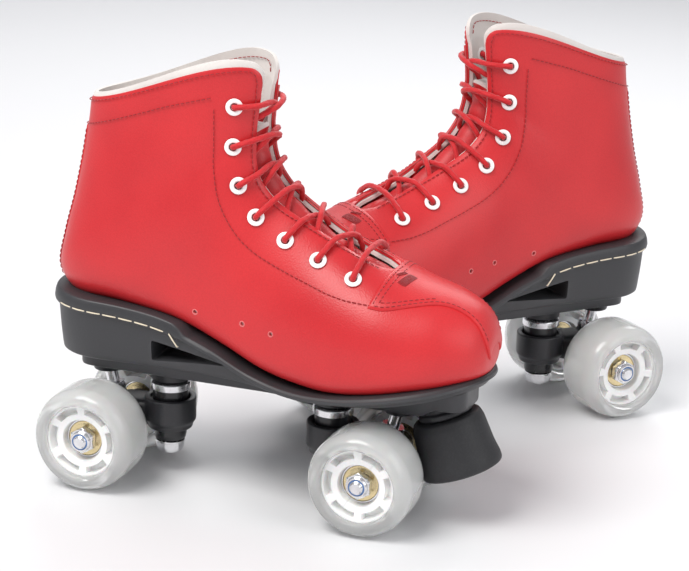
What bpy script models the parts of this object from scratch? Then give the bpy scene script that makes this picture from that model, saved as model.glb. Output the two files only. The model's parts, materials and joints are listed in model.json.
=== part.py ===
"""A pair of laced quad roller skates.

Each skate is a high-top boot on a moulded outsole and a flat plate.  Two steering trucks hang
under the plate, each with two wheels on one axle, and a rubber toe stop sits at the front.
Metres, +Z up.  A skate is modelled in its own frame: x to the toe, y to the lateral side of the
left foot, z up from the floor, with its origin below the middle of the wheelbase.
"""

import math

import bmesh
import bpy
from mathutils import Matrix, Vector

# ---------------------------------------------------------------- driving dimensions
GAP = 0.0003                  # clearance left between pieces that touch

WHEEL_DIAMETER = 0.058
WHEEL_WIDTH = 0.034
TREAD_WIDTH = 0.021           # flat part of the tyre
WHEELBASE = 0.159             # axle to axle
TRACK = 0.069                 # wheel centre to wheel centre

BEARING_OD = 0.022
BEARING_BORE = 0.008
BEARING_WIDTH = 0.007
BEARING_FACE = 0.008          # wheel centre to the bearing's outer face
SPACER_OD = 0.0112            # tube between the two inner races

AXLE_DIAMETER = 0.0074
AXLE_END = 0.0163             # axle end beyond the wheel centre
NUT_FLATS = 0.013
NUT_HEIGHT = 0.0066
NUT_CROWN = 0.0018

KINGPIN_DIAMETER = 0.0078
KINGPIN_INBOARD = 0.0315      # axle to kingpin
KINGPIN_HEAD_FLATS = 0.0135
KINGPIN_HEAD_HEIGHT = 0.0075
PIVOT_OUTBOARD = 0.0065       # axle to the pivot pin's tip
PIVOT_RISE = 0.031            # axle to the pivot pin's tip
PIVOT_PIN_DIAMETER = 0.0072
SOCKET_BORE = 0.0108

RING_DIAMETER = 0.029
RING_HEIGHT = 0.018
RING_RISE = 0.007             # axle to the middle of the ring
RING_WEB = 0.004
CUSHION_DIAMETER = 0.0206
LOWER_CUSHION_DIAMETER = 0.0192
UPPER_CUSHION_HEIGHT = 0.0128
LOWER_CUSHION_HEIGHT = 0.0136
CUP_WASHER_DIAMETER = 0.0224
CUP_WASHER_HEIGHT = 0.0034
BOSS_DIAMETER = 0.0215

PLATE_RISE = 0.0345           # axle to the plate's underside
PLATE_THICKNESS = 0.007
PLATE_WIDTH = 0.047
FRONT_DROP = 0.0025           # the plate is deeper under the forefoot
PLATE_OVERHANG = 0.0145       # plate beyond the rear axle, and beyond the stop's middle

BOOT_LENGTH = 0.248           # heel back to toe tip of the upper
BOOT_WIDTH = 0.086            # across the ball
SHAFT_HEIGHT = 0.138          # heel seat to the peak of the collar
BOOT_HEEL = -0.1115           # heel back, from the middle of the wheelbase
UPPER_WALL = 0.004
INSOLE_THICKNESS = 0.005
THROAT_HALF = 0.0135          # half of the opening between the facings
FACING = 0.0148               # facing edge to the eyelet row
EYELET_COUNT = 7
EYELET_PITCH = 0.0205
LACE_DIAMETER = 0.0031
EYELET_BORE = LACE_DIAMETER + 0.0019
LACE_SPACE = 0.0052           # room under the facings for the lace
TONGUE_THICKNESS = 0.0038

SOLE_LENGTH = 0.2515
SOLE_HEEL = -0.114
SOLE_STEP = 0.0875            # sole heel to the end of the heel welt
HEEL_HEIGHT = 0.0302          # heel block from the plate to the heel seat
WELT_HEIGHT = 0.0062          # heel welt above the heel seat
RAND_HEIGHT = 0.0022          # sole edge above the forefoot seat

STOP_TOP_DIAMETER = 0.037
STOP_DIAMETER = 0.046
STOP_HEIGHT = 0.031
STOP_TILT = math.radians(20)
STOP_AHEAD = 0.003            # front wheels' leading edge to the middle of the stop's top face
STOP_RISE = 0.029             # axle to the middle of the stop's top face

SPREAD = BOOT_LENGTH / 0.248   # longer boots stand further apart
LEFT_PLACE = (-0.0492 * SPREAD, 0.0)      # each skate's origin on the floor, and its heading
LEFT_HEADING = math.radians(-19.5)
RIGHT_PLACE = (0.0780 * SPREAD, 0.1280 * SPREAD)
RIGHT_HEADING = math.radians(207.6)

ROUND = 16                    # facets round a turned piece
FINE = 12                     # facets round a bolt

# ---------------------------------------------------------------- derived heights
WHEEL_R = WHEEL_DIAMETER / 2
AXLE_Z = WHEEL_R
PLATE_Z = AXLE_Z + PLATE_RISE
DECK_Z = PLATE_Z + PLATE_THICKNESS
SEAT_Z = DECK_Z + HEEL_HEIGHT
RING_Z = AXLE_Z + RING_RISE
SHELF_TOP = RING_Z + RING_WEB / 2
SHELF_BOTTOM = RING_Z - RING_WEB / 2
WASHER_Z = SHELF_TOP + UPPER_CUSHION_HEIGHT + 2 * GAP
BOSS_Z = WASHER_Z + CUP_WASHER_HEIGHT + GAP
HEAD_TOP = SHELF_BOTTOM - LOWER_CUSHION_HEIGHT - 2 * GAP
PIVOT_Z = AXLE_Z + PIVOT_RISE
AXLE_X = WHEELBASE / 2
KINGPIN_X = AXLE_X - KINGPIN_INBOARD
STOP_X = AXLE_X + WHEEL_R + STOP_AHEAD
PLATE_REAR = -AXLE_X - PLATE_OVERHANG
PLATE_NOSE = STOP_X + PLATE_OVERHANG


# ---------------------------------------------------------------- materials
def material(name, colour, roughness, metallic=0.0):
    made = bpy.data.materials.new(name)
    made.use_nodes = True
    shader = made.node_tree.nodes["Principled BSDF"]
    shader.inputs["Base Color"].default_value = (*colour, 1.0)
    shader.inputs["Roughness"].default_value = roughness
    shader.inputs["Metallic"].default_value = metallic
    return made


def make_materials():
    return {
        "leather": material("red_leather", (0.72, 0.04, 0.05), 0.42),
        "tongue": material("red_tongue_leather", (0.62, 0.035, 0.045), 0.5),
        "lace": material("red_lace", (0.70, 0.02, 0.025), 0.75),
        "sole": material("black_rubber", (0.045, 0.045, 0.05), 0.6),
        "nylon": material("black_nylon", (0.03, 0.03, 0.035), 0.5),
        "stop": material("stop_rubber", (0.02, 0.02, 0.022), 0.7),
        "cushion": material("black_urethane", (0.015, 0.015, 0.018), 0.45),
        "chrome": material("bright_steel", (0.72, 0.72, 0.74), 0.22, 1.0),
        "bearing": material("bearing_steel", (0.72, 0.62, 0.38), 0.3, 1.0),
        "wheel": material("clear_urethane", (0.86, 0.87, 0.86), 0.2),
    }


# ---------------------------------------------------------------- mesh helpers
def finish(bm, name, smooth=True):
    bmesh.ops.remove_doubles(bm, verts=bm.verts, dist=1e-7)
    bmesh.ops.recalc_face_normals(bm, faces=bm.faces)
    mesh = bpy.data.meshes.new(name)
    bm.to_mesh(mesh)
    bm.free()
    if smooth:
        mesh.shade_smooth()
        mesh.set_sharp_from_angle(angle=math.radians(35))
    return mesh


def turned(profile, count, name, axis="Z", centre=(0, 0, 0), flat_down=False):
    """A closed profile of (radius, height) points turned round an axis; radius 0 closes it."""
    bm = bmesh.new()
    start = math.pi / count if flat_down else 0.0
    rings = []
    for radius, height in profile:
        if radius == 0:
            rings.append([bm.verts.new((0, 0, height))])
            continue
        turn = [start + 2 * math.pi * i / count for i in range(count)]
        rings.append([bm.verts.new((radius * math.cos(a), radius * math.sin(a), height)) for a in turn])
    closed = len(rings[0]) > 1
    pairs = list(zip(rings, rings[1:])) + ([(rings[-1], rings[0])] if closed else [])
    for low, high in pairs:
        bridge(bm, low, high)
    if axis == "Y":
        bmesh.ops.rotate(bm, verts=bm.verts, matrix=Matrix.Rotation(math.radians(90), 3, "X"))
        if flat_down:
            bmesh.ops.rotate(bm, verts=bm.verts, matrix=Matrix.Rotation(math.radians(90), 3, "Y"))
    bmesh.ops.translate(bm, verts=bm.verts, vec=centre)
    return finish(bm, name)


def bridge(bm, low, high):
    """Join two closed rings of one length, or a ring and a point."""
    if len(low) == 1 and len(high) == 1:
        return
    count = max(len(low), len(high))
    for i in range(count):
        j = (i + 1) % count
        if len(low) == 1:
            bm.faces.new((low[0], high[j], high[i]))
        elif len(high) == 1:
            bm.faces.new((low[i], low[j], high[0]))
        else:
            bm.faces.new((low[i], low[j], high[j], high[i]))


def lofted(sections, name, smooth=True):
    """A solid through rings of points, with flat or fanned ends."""
    bm = bmesh.new()
    rings = [[bm.verts.new(p) for p in section] for section in sections]
    for low, high in zip(rings, rings[1:]):
        bridge(bm, low, high)
    for ring in (rings[0], rings[-1]):
        if len(ring) > 2:
            bm.faces.new(ring)
    return finish(bm, name, smooth)


def prism(outline, half_width, name):
    """An outline of (x, z) points, extruded across from -half_width to +half_width."""
    return lofted([[(x, y, z) for x, z in outline] for y in (-half_width, half_width)], name, False)


def combined(name, base, steps):
    """Apply Boolean steps, each (operation, mesh), to a mesh and return the result."""
    target = bpy.data.objects.new("work_" + name, base)
    bpy.context.scene.collection.objects.link(target)
    tools = []
    for operation, mesh in steps:
        tool = bpy.data.objects.new("tool_" + name, mesh)
        tool.hide_render = True
        tool.display_type = "WIRE"
        bpy.context.scene.collection.objects.link(tool)
        modifier = target.modifiers.new(operation, "BOOLEAN")
        modifier.operation = operation
        modifier.solver = "EXACT"
        modifier.object = tool
        tools.append(tool)
    depsgraph = bpy.context.evaluated_depsgraph_get()
    result = bpy.data.meshes.new_from_object(target.evaluated_get(depsgraph))
    result.name = name
    for thing in [target] + tools:
        bpy.data.objects.remove(thing, do_unlink=True)
    bm = bmesh.new()
    bm.from_mesh(result)
    bmesh.ops.dissolve_degenerate(bm, dist=1e-5, edges=bm.edges)
    bm.to_mesh(result)
    bm.free()
    result.shade_smooth()
    result.set_sharp_from_angle(angle=math.radians(35))
    return result


def smooth_value(values, u):
    """Catmull-Rom through evenly spaced values, at u from 0 to len - 1."""
    last = len(values) - 1
    i = min(max(int(math.floor(u)), 0), last - 1)
    t = u - i
    a, b, c, d = (values[min(max(k, 0), last)] for k in (i - 1, i, i + 1, i + 2))
    return 0.5 * (2 * b + (c - a) * t + (2 * a - 5 * b + 4 * c - d) * t * t
                  + (3 * b - a - 3 * c + d) * t ** 3)


# ---------------------------------------------------------------- the boot's form
class Boot:
    """Rings that start at the toe, turn through the heel and end at the collar.

    Each ring runs from a point on the bottom or back line to a point on the top or front line.
    Lengths are drawn for a 248 mm boot, 86 mm across the ball, with a 138 mm shaft, and scale
    with those sizes: x from the heel back, z from the heel seat.
    """

    # bottom x, z; top x, z; half width medial, lateral; height of the widest part; squareness
    # of the lower and upper half; all lengths in millimetres
    STATIONS = [
        (248.0, -9.0, 248.3, -1.5, 7, 7, 0.50, 2.0, 2.0),
        (246.3, -14.5, 246.4, 8.0, 16, 15, 0.45, 2.2, 2.0),
        (240.0, -18.5, 240.2, 18.0, 25, 23, 0.42, 2.6, 2.0),
        (228.0, -21.5, 226.0, 25.5, 34, 31, 0.38, 3.2, 2.1),
        (211.0, -24.5, 209.5, 30.0, 40, 37, 0.35, 3.8, 2.1),
        (191.5, -27.5, 193.5, 36.0, 43, 42, 0.33, 4.4, 2.1),
        (170.0, -29.3, 175.0, 43.8, 42, 44, 0.31, 5.0, 2.0),
        (150.0, -28.2, 158.5, 52.5, 39, 42.5, 0.30, 5.0, 1.9),
        (128.0, -24.0, 144.5, 62.0, 35, 40, 0.30, 5.0, 1.9),
        (103.0, -14.0, 132.5, 72.0, 31.5, 37, 0.32, 5.0, 1.9),
        (76.5, -4.8, 125.0, 82.0, 30.5, 34.5, 0.36, 4.6, 2.0),
        (42.0, 0.0, 122.5, 91.0, 31, 33, 0.40, 4.0, 2.1),
        (13.5, 1.5, 122.0, 98.5, 30.5, 31.5, 0.42, 3.2, 2.2),
        (0.8, 13.5, 122.0, 105.0, 29, 29.5, 0.44, 2.6, 2.2),
        (3.0, 33.0, 122.5, 111.5, 27.5, 28, 0.46, 2.4, 2.2),
        (8.5, 55.0, 123.2, 117.5, 26.5, 27, 0.48, 2.3, 2.2),
        (13.0, 78.0, 124.0, 123.0, 25.5, 26, 0.50, 2.2, 2.2),
        (16.0, 97.0, 124.8, 127.0, 25, 25.5, 0.50, 2.2, 2.2),
        (17.8, 113.0, 125.5, 129.0, 25, 25.5, 0.50, 2.2, 2.2),
    ]
    COLLAR_PEAK = 14.0        # how far the collar's front corners rise above its ring
    PEAK_SHAPE = 0.243        # largest value of the curve that the crown follows

    def __init__(self):
        self.along = BOOT_LENGTH / 0.248 / 1000
        self.across = BOOT_WIDTH / 0.086 / 1000
        self.up = SHAFT_HEIGHT / 0.138 / 1000
        self.columns = list(zip(*self.STATIONS))
        self.top = len(self.STATIONS) - 1

    def section(self, u, inset=0.0, bottom_inset=None):
        """Bottom point, top point, half widths and shape of the ring at u, moved inwards."""
        bx, bz, fx, fz, medial, lateral, widest, low, high = (smooth_value(c, u) for c in self.columns)
        start = Vector((BOOT_HEEL + bx * self.along, 0, SEAT_Z + bz * self.up))
        end = Vector((BOOT_HEEL + fx * self.along, 0, SEAT_Z + fz * self.up))
        way = (end - start).normalized()
        start += way * (inset if bottom_inset is None else bottom_inset)
        end -= way * inset
        return start, end, medial * self.across - inset, lateral * self.across - inset, widest, low, high

    def crown(self, u, share):
        """Rise of the collar at a share of the way from its back to its front."""
        near_top = max(0.0, 1 - (self.top - u) / 2.2)
        curve = share ** 2 * (1 - share) ** 0.6 / self.PEAK_SHAPE
        return self.COLLAR_PEAK * self.up * near_top ** 2 * curve

    def point(self, u, turn, inset=0.0, bottom_inset=None):
        """A point of the ring: turn 0 is the bottom or back, pi the top or front."""
        start, end, medial, lateral, widest, low, high = self.section(u, inset, bottom_inset)
        c, s = math.cos(turn), math.sin(turn)
        power = 2 / (low if c > 0 else high)
        reach = abs(c) ** power
        share = min(1.0, widest * (1 - reach) if c > 0 else widest + (1 - widest) * reach)
        half = lateral if s > 0 else medial
        place = start.lerp(end, share)
        place.y = math.copysign(half * abs(s) ** power, s)
        place.z += self.crown(u, share)
        return place

    def ring(self, u, count, inset=0.0, bottom_inset=None):
        return [self.point(u, 2 * math.pi * i / count, inset, bottom_inset) for i in range(count)]

    def turn_at(self, u, arc):
        """The turn at a distance along the surface from the front line; sign picks the side."""
        steps = 60
        last = self.point(u, math.pi)
        gone = 0.0
        for i in range(1, steps + 1):
            turn = math.pi - math.copysign(1.5 * i / steps, arc)
            here = self.point(u, turn)
            step = (here - last).length
            if gone + step >= abs(arc):
                back = 1 - (abs(arc) - gone) / step
                return turn + math.copysign(1.5 / steps, arc) * back
            gone += step
            last = here
        return turn

    def skin(self, u, arc, depth=0.0):
        """A point at a distance from the front line, and below (or above) the outer face."""
        turn = self.turn_at(u, arc)
        small = 0.02
        place = self.point(u, turn)
        round_way = self.point(u, turn + small) - self.point(u, turn - small)
        up_way = self.point(u + small, turn) - self.point(u - small, turn)
        outward = up_way.cross(round_way).normalized()
        return place - outward * depth

    def outward(self, u, arc):
        return (self.skin(u, arc, -0.001) - self.skin(u, arc)).normalized()

    def facing_line(self, first_u, arc, pitch, count):
        """Ring numbers of points spaced evenly up one facing, from the toe end."""
        found = [first_u]
        u = first_u
        last = self.skin(u, arc)
        gone = 0.0
        while len(found) < count and u < self.top:
            u += 0.02
            here = self.skin(u, arc)
            gone += (here - last).length
            last = here
            if gone >= pitch:
                gone -= pitch
                found.append(u)
        return found


boot = Boot()
THROAT_START = 5.15           # ring where the throat opens
FIRST_EYELET = 5.75           # ring of the lowest eyelet
VAMP_X = 0.0345               # where the vamp ends and the quarters begin
TONGUE_START = 4.6
TONGUE_END = 12.9
EYELET_ARC = THROAT_HALF + FACING
EYELET_RINGS = boot.facing_line(FIRST_EYELET, EYELET_ARC, EYELET_PITCH, EYELET_COUNT)


def skin_rings(inset, bottom_inset, first, count, around):
    steps = [first + (boot.top - first) * i / (count - 1) for i in range(count)]
    return [boot.ring(u, around, inset, bottom_inset) for u in steps]


def throat_cutter():
    """The slot between the facings, cut along the front line from the vamp to the collar."""
    sections = []
    stations = [THROAT_START + (boot.top - THROAT_START) * i / 12 for i in range(13)]
    for number, u in enumerate(stations):
        crest = boot.point(u, math.pi)
        way = boot.point(u + 0.05, math.pi) - boot.point(u - 0.05, math.pi)
        outward = Vector((way.z, 0, -way.x)).normalized()
        if outward.x < 0:
            outward = -outward
        half = THROAT_HALF * (0.7 if number == 0 else 0.9 if number == 1 else 0.97)
        low, high = crest - outward * (UPPER_WALL + 0.010), crest + outward * 0.016
        sections.append([(low.x, -half, low.z), (high.x, -half, high.z),
                         (high.x, half, high.z), (low.x, half, low.z)])
    rise = 0.020
    sections.append([(x, y, z + rise) for x, y, z in sections[-1]])
    return lofted(sections, "throat", False)


def eyelet_cutters():
    made = []
    for u in EYELET_RINGS:
        for side in (-1, 1):
            centre = boot.skin(u, side * EYELET_ARC, UPPER_WALL / 2)
            way = boot.outward(u, side * EYELET_ARC)
            reach = UPPER_WALL / 2 + 0.003
            half = EYELET_BORE / 2
            mesh = turned([(0, -reach), (half, -reach), (half, reach), (0, reach)], 6, "eyelet_hole")
            mesh.transform(Matrix.Translation(centre) @ way.to_track_quat("Z", "Y").to_matrix().to_4x4())
            made.append(mesh)
    return made


def make_upper():
    """The whole shell: two skins joined round the collar, with the throat and the eyelets cut."""
    around = 20
    outer = skin_rings(0, 0, 0, 21, around)
    inner = skin_rings(UPPER_WALL, INSOLE_THICKNESS, 1.4, 13, around)
    bm = bmesh.new()
    skins = [[[bm.verts.new(p) for p in ring] for ring in rings] for rings in (outer, inner)]
    for rings in skins:
        for low, high in zip(rings, rings[1:]):
            bridge(bm, low, high)
        bm.faces.new(rings[0])
    bridge(bm, skins[0][-1], skins[1][-1])
    shell = finish(bm, "shell")
    holes = [("DIFFERENCE", hole) for hole in eyelet_cutters()]
    return combined("upper", shell, [("DIFFERENCE", throat_cutter())] + holes)


def block(low, high, name):
    """A box between two corners."""
    outline = [(low[0], low[2]), (high[0], low[2]), (high[0], high[2]), (low[0], high[2])]
    return lofted([[(x, y, z) for x, z in outline] for y in (low[1], high[1])], name, False)


def upper_panels():
    """The upper as its three panels: the vamp, and a quarter on each side that meet at the heel."""
    shell = make_upper()
    reach = BOOT_LENGTH
    gap = GAP / 2
    regions = {"vamp": ((VAMP_X + gap, -reach, 0), (reach, reach, reach)),
               "outer_quarter": ((-reach, gap, 0), (VAMP_X - gap, reach, reach)),
               "inner_quarter": ((-reach, -reach, 0), (VAMP_X - gap, -gap, reach))}
    panels = {}
    for name, (low, high) in regions.items():
        region = block(low, high, name + "_region")
        panels[name] = triangulated(combined(name, shell.copy(), [("INTERSECT", region)]))
    return panels


def triangulated(mesh):
    """Fix every facet's diagonals, so that a mirrored copy is exactly the same shape."""
    bm = bmesh.new()
    bm.from_mesh(mesh)
    bmesh.ops.triangulate(bm, faces=bm.faces)
    bm.to_mesh(mesh)
    bm.free()
    return mesh


def make_tongue():
    """A padded strip that follows the inside of the facings, with room for the laces."""
    reach = EYELET_ARC - 0.001
    depth = UPPER_WALL + LACE_SPACE
    sections = []
    for number in range(10):
        u = TONGUE_START + (TONGUE_END - TONGUE_START) * number / 9
        arcs = [reach * (i / 3 - 1) * (0.72 if number in (0, 9) else 1) for i in range(7)]
        outer = [boot.skin(u, a, depth) for a in arcs]
        inner = [boot.skin(u, a, depth + TONGUE_THICKNESS) for a in arcs]
        sections.append(outer + inner[::-1])
    return lofted(sections, "tongue")


def lace_strand(first_side):
    """Half the lace, from its tucked end at the top eyelet down to the lowest eyelet."""
    under = UPPER_WALL + LACE_SPACE / 2
    over = -(LACE_DIAMETER / 2 + 0.0010)
    high = first_side > 0
    rings = EYELET_RINGS[::-1]
    side = first_side
    route = [boot.skin(rings[0] - 0.5, side * (EYELET_ARC + 0.008), under + 0.001)]
    for number, u in enumerate(rings):
        hole = side * EYELET_ARC
        route += [boot.skin(u, hole, depth) for depth in (under, UPPER_WALL / 2, over + 0.0004)]
        if number == len(rings) - 1:
            break
        down = rings[number + 1]
        part = lambda share: u + (down - u) * share
        route.append(boot.skin(part(0.10), hole * 0.72, over - 0.0004))
        route.append(boot.skin(part(0.22), side * THROAT_HALF * 0.80, over - (0.0008 if high else 0)))
        route.append(boot.skin(part(0.45), 0, -0.0030 if high else 0.0014))
        route.append(boot.skin(part(0.62), -side * THROAT_HALF * 0.62, UPPER_WALL + 0.0008))
        route.append(boot.skin(part(0.80), -side * (THROAT_HALF + 0.0035), under))
        side = -side
    return route


def make_laces():
    bar = [boot.skin(EYELET_RINGS[0], arc, -(LACE_DIAMETER / 2 + 0.0014))
           for arc in (EYELET_ARC * 0.6, EYELET_ARC * 0.2, -EYELET_ARC * 0.2, -EYELET_ARC * 0.6)]
    route = lace_strand(1) + bar + lace_strand(-1)[::-1]
    curve = bpy.data.curves.new("laces", "CURVE")
    curve.dimensions = "3D"
    curve.bevel_depth = LACE_DIAMETER / 2
    curve.bevel_resolution = 1
    curve.use_fill_caps = True
    spline = curve.splines.new("POLY")
    spline.points.add(len(route) - 1)
    for place, point in zip(route, spline.points):
        point.co = (*place, 1)
    thing = bpy.data.objects.new("work_laces", curve)
    bpy.context.scene.collection.objects.link(thing)
    depsgraph = bpy.context.evaluated_depsgraph_get()
    mesh = bpy.data.meshes.new_from_object(thing.evaluated_get(depsgraph))
    bpy.data.objects.remove(thing, do_unlink=True)
    bm = bmesh.new()
    bm.from_mesh(mesh)
    return finish(bm, "laces")


# ---------------------------------------------------------------- sole and plate
def along_sole(values, x):
    """Read evenly spaced values from the sole's heel to its toe."""
    share = (x - SOLE_HEEL) / SOLE_LENGTH
    return smooth_value(values, min(max(share, 0), 1) * (len(values) - 1))


def sole_half(x, side):
    """Half width of the sole, rounded at the heel and the toe."""
    medial = (35.0, 34.5, 33.0, 33.5, 36.0, 42.0, 45.2, 45.5, 45.0)
    lateral = (35.0, 34.5, 34.5, 37.0, 42.0, 46.0, 46.5, 44.5, 42.5)
    half = along_sole(lateral if side > 0 else medial, x) / 1000 * BOOT_WIDTH / 0.086
    heel_round, toe_round = 0.036, 0.062
    into_heel = max(0.0, (SOLE_HEEL + heel_round - x) / heel_round)
    into_toe = max(0.0, (x - SOLE_HEEL - SOLE_LENGTH + toe_round) / toe_round)
    return half * max(0, 1 - into_heel ** 2.4) ** 0.5 * max(0, 1 - into_toe ** 2.2) ** 0.5


def seat_height(x):
    """Height of the upper's underside above the deck, along the sole."""
    drawn = (0.6, 0.2, -0.6, -3.6, -11.5, -22.5, -28.6, -29.0, -25.5, -21.0, -16.5)
    return SEAT_Z + along_sole(drawn, x) / 1000


def edge_height(x):
    """Top edge of the sole: a tall welt round the heel, a low rand round the forefoot."""
    return seat_height(x) + (WELT_HEIGHT if x < SOLE_HEEL + SOLE_STEP else RAND_HEIGHT)


def sole_bottom(x):
    """Underside of the sole: flat on the deck at the heel, sprung up at the toe."""
    drawn = (0.0, 0.0, 0.0, 0.0, 0.0, -0.9, -3.2, -2.6, -0.2, 3.8, 8.2)
    return DECK_Z + GAP + along_sole(drawn, x) / 1000


def make_outsole():
    """Heel block, arch and forefoot in one moulding, nested round the upper."""
    count = 20
    spread = [0.5 - 0.5 * math.cos(math.pi * i / count) for i in range(count + 1)]
    places = [SOLE_HEEL + SOLE_LENGTH * s for s in spread]
    notch = SOLE_HEEL + SOLE_STEP
    places = sorted(x for x in places if abs(x - notch) > 0.003) + [notch - 0.0004, notch + 0.0012]
    places.sort()

    def loop(inset, height):
        shrink = 1 - 2 * inset / SOLE_LENGTH
        centre = SOLE_HEEL + SOLE_LENGTH / 2
        rows = []
        for side in (1, -1):
            row = [(centre + (x - centre) * shrink, side * max(0, sole_half(x, side) - inset), height(x))
                   for x in places[1:-1]]
            rows.append(row)
        ends = [(centre + (x - centre) * shrink, 0, height(x)) for x in (places[0], places[-1])]
        return [ends[0]] + rows[0] + [ends[1]] + rows[1][::-1]

    def block(x):
        return edge_height(x) - 0.0075 if x < notch else edge_height(x) - 0.003

    def taper(x):
        return max(sole_bottom(x) + 0.0008, block(x) - 0.0025)

    bm = bmesh.new()
    levels = [loop(0.0052, sole_bottom), loop(0.0022, taper), loop(0.0, block), loop(0.0, edge_height)]
    rings = [[bm.verts.new(p) for p in level] for level in levels]
    for low, high in zip(rings, rings[1:]):
        bridge(bm, low, high)
    half = len(places) - 1
    total = len(rings[0])
    for ring in (rings[0], rings[-1]):
        bm.faces.new((ring[0], ring[1], ring[total - 1]))
        for i in range(1, half - 1):
            bm.faces.new((ring[i], ring[i + 1], ring[total - i - 1], ring[total - i]))
        bm.faces.new((ring[half - 1], ring[half], ring[half + 1]))
    body = finish(bm, "sole_body")
    foot = lofted(skin_rings(-GAP * 1.3, -GAP * 1.3, 0, 21, 20), "foot")
    window = prism([(-0.046, DECK_Z + 0.0042), (-0.0005, DECK_Z + 0.0082), (-0.046, DECK_Z + 0.0160)],
                   0.08, "window")
    return combined("outsole", body, [("DIFFERENCE", foot), ("DIFFERENCE", window)])


def make_plate():
    """The flat plate with its kingpin bosses, pivot sockets and toe-stop post."""
    half = PLATE_WIDTH / 2
    narrow = half - 0.0055
    stations = [PLATE_REAR, PLATE_REAR + 0.004, PLATE_REAR + 0.016, -0.030, 0.008, 0.024, 0.040, 0.056,
                AXLE_X + 0.0055, AXLE_X + 0.0255, PLATE_NOSE - 0.008, PLATE_NOSE]
    sections = []
    for x in stations:
        from_end = min(x - PLATE_REAR, PLATE_NOSE - x)
        width = half if x < 0.02 else narrow
        width *= 0.55 if from_end < 0.001 else 0.85 if from_end < 0.007 else 1
        past_axle = x - AXLE_X
        nose_drop = 0.0005 if past_axle < 0.0305 else -0.0018
        drop = 0 if x < 0.02 else FRONT_DROP if past_axle < 0.0245 else nose_drop
        low = PLATE_Z - drop
        high = sole_bottom(x) - 2 * GAP
        edge = 0.0014
        sections.append([(x, width, low + edge), (x, width, high), (x, -width, high),
                         (x, -width, low + edge), (x, edge - width, low), (x, width - edge, low)])
    slab = lofted(sections, "slab", False)
    steps = []
    inside, roof = PLATE_Z + 0.002, PLATE_Z + 0.0002
    for end in (-1, 1):
        bore, boss_r = KINGPIN_DIAMETER / 2 + GAP, BOSS_DIAMETER / 2
        boss = turned([(bore, BOSS_Z), (boss_r, BOSS_Z), (boss_r + 0.0012, inside), (0, inside),
                       (0, roof), (bore, roof)], ROUND, "boss", centre=(end * KINGPIN_X, 0, 0))
        low = PIVOT_Z - 0.0045
        bore = SOCKET_BORE / 2
        socket = turned([(bore, low), (bore + 0.0026, low), (bore + 0.004, inside),
                         (0, inside), (0, roof), (bore - 0.0004, roof)],
                        FINE, "socket", centre=(end * (AXLE_X + PIVOT_OUTBOARD), 0, 0))
        steps += [("UNION", boss), ("UNION", socket)]
    post_way = Matrix.Rotation(-STOP_TILT, 4, "Y")
    post = turned([(0, GAP), (0.0150, GAP), (0.0130, 0.0105), (0, 0.0105)], FINE, "post")
    post.transform(Matrix.Translation((STOP_X, 0, AXLE_Z + STOP_RISE)) @ post_way)
    steps.append(("UNION", post))
    return combined("plate", slab, steps)


def make_toe_stop():
    """A rubber cone, flared towards its flat, tilted face."""
    top, low = STOP_TOP_DIAMETER / 2, STOP_DIAMETER / 2
    profile = [(0, -STOP_HEIGHT), (low - 0.003, -STOP_HEIGHT), (low, -STOP_HEIGHT + 0.0035),
               (top + 0.0012, -0.004), (top - 0.0018, 0), (0, 0)]
    mesh = turned(profile, ROUND, "toe_stop")
    mesh.transform(Matrix.Translation((STOP_X, 0, AXLE_Z + STOP_RISE)) @ Matrix.Rotation(-STOP_TILT, 4, "Y"))
    return mesh


# ---------------------------------------------------------------- truck, in its own frame
# x inboard from the axle, y across, z up from the floor
def hexagon_ring(radius_flats, height):
    corner = radius_flats / math.cos(math.radians(30))
    points = []
    for i in range(6):
        a, b = math.radians(60 * i), math.radians(60 * i + 60)
        start = Vector((corner * math.cos(a), corner * math.sin(a), height))
        end = Vector((corner * math.cos(b), corner * math.sin(b), height))
        points += [start, start.lerp(end, 0.5)]
    return points


def circle_ring(radius, height, count=FINE):
    return [Vector((radius * math.cos(2 * math.pi * i / count), radius * math.sin(2 * math.pi * i / count),
                    height)) for i in range(count)]


def make_kingpin():
    """Bolt from the boss down through the stack, with a hexagon head and its washer."""
    shank = KINGPIN_DIAMETER / 2
    flats = KINGPIN_HEAD_FLATS / 2
    top = PLATE_Z - FRONT_DROP - 2 * GAP
    low = HEAD_TOP - 0.0014 - KINGPIN_HEAD_HEIGHT
    sections = [circle_ring(flats * 0.8, low), hexagon_ring(flats, low + 0.0022),
                hexagon_ring(flats, HEAD_TOP - 0.0014), circle_ring(flats + 0.0016, HEAD_TOP - 0.0014),
                circle_ring(flats + 0.0016, HEAD_TOP), circle_ring(shank, HEAD_TOP), circle_ring(shank, top)]
    mesh = lofted(sections, "kingpin")
    mesh.transform(Matrix.Translation((KINGPIN_INBOARD, 0, 0)))
    return mesh


def washer_like(inner, outer, low, high, name, lip=0.0):
    """A ring round the kingpin; a lip turns its outer edge down."""
    profile = [(inner, low), (outer, low), (outer, high), (inner, high)]
    if lip:
        wall = outer - 0.0009
        profile = [(inner, low), (wall, low), (wall, low - lip), (outer, low - lip), (outer, high),
                   (inner, high)]
    return turned(profile, ROUND, name, centre=(KINGPIN_INBOARD, 0, 0))


def make_cup_washer():
    low = WASHER_Z + 0.0016
    return washer_like(KINGPIN_DIAMETER / 2 + GAP, CUP_WASHER_DIAMETER / 2, low,
                       WASHER_Z + CUP_WASHER_HEIGHT, "cup_washer", lip=0.0034)


def make_upper_cushion():
    return washer_like(KINGPIN_DIAMETER / 2 + GAP, CUSHION_DIAMETER / 2, SHELF_TOP + GAP,
                       WASHER_Z + 0.0016 - GAP, "upper_cushion")


def make_lower_cushion():
    return washer_like(KINGPIN_DIAMETER / 2 + GAP, LOWER_CUSHION_DIAMETER / 2,
                       HEAD_TOP + GAP, SHELF_BOTTOM - GAP, "lower_cushion")


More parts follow.
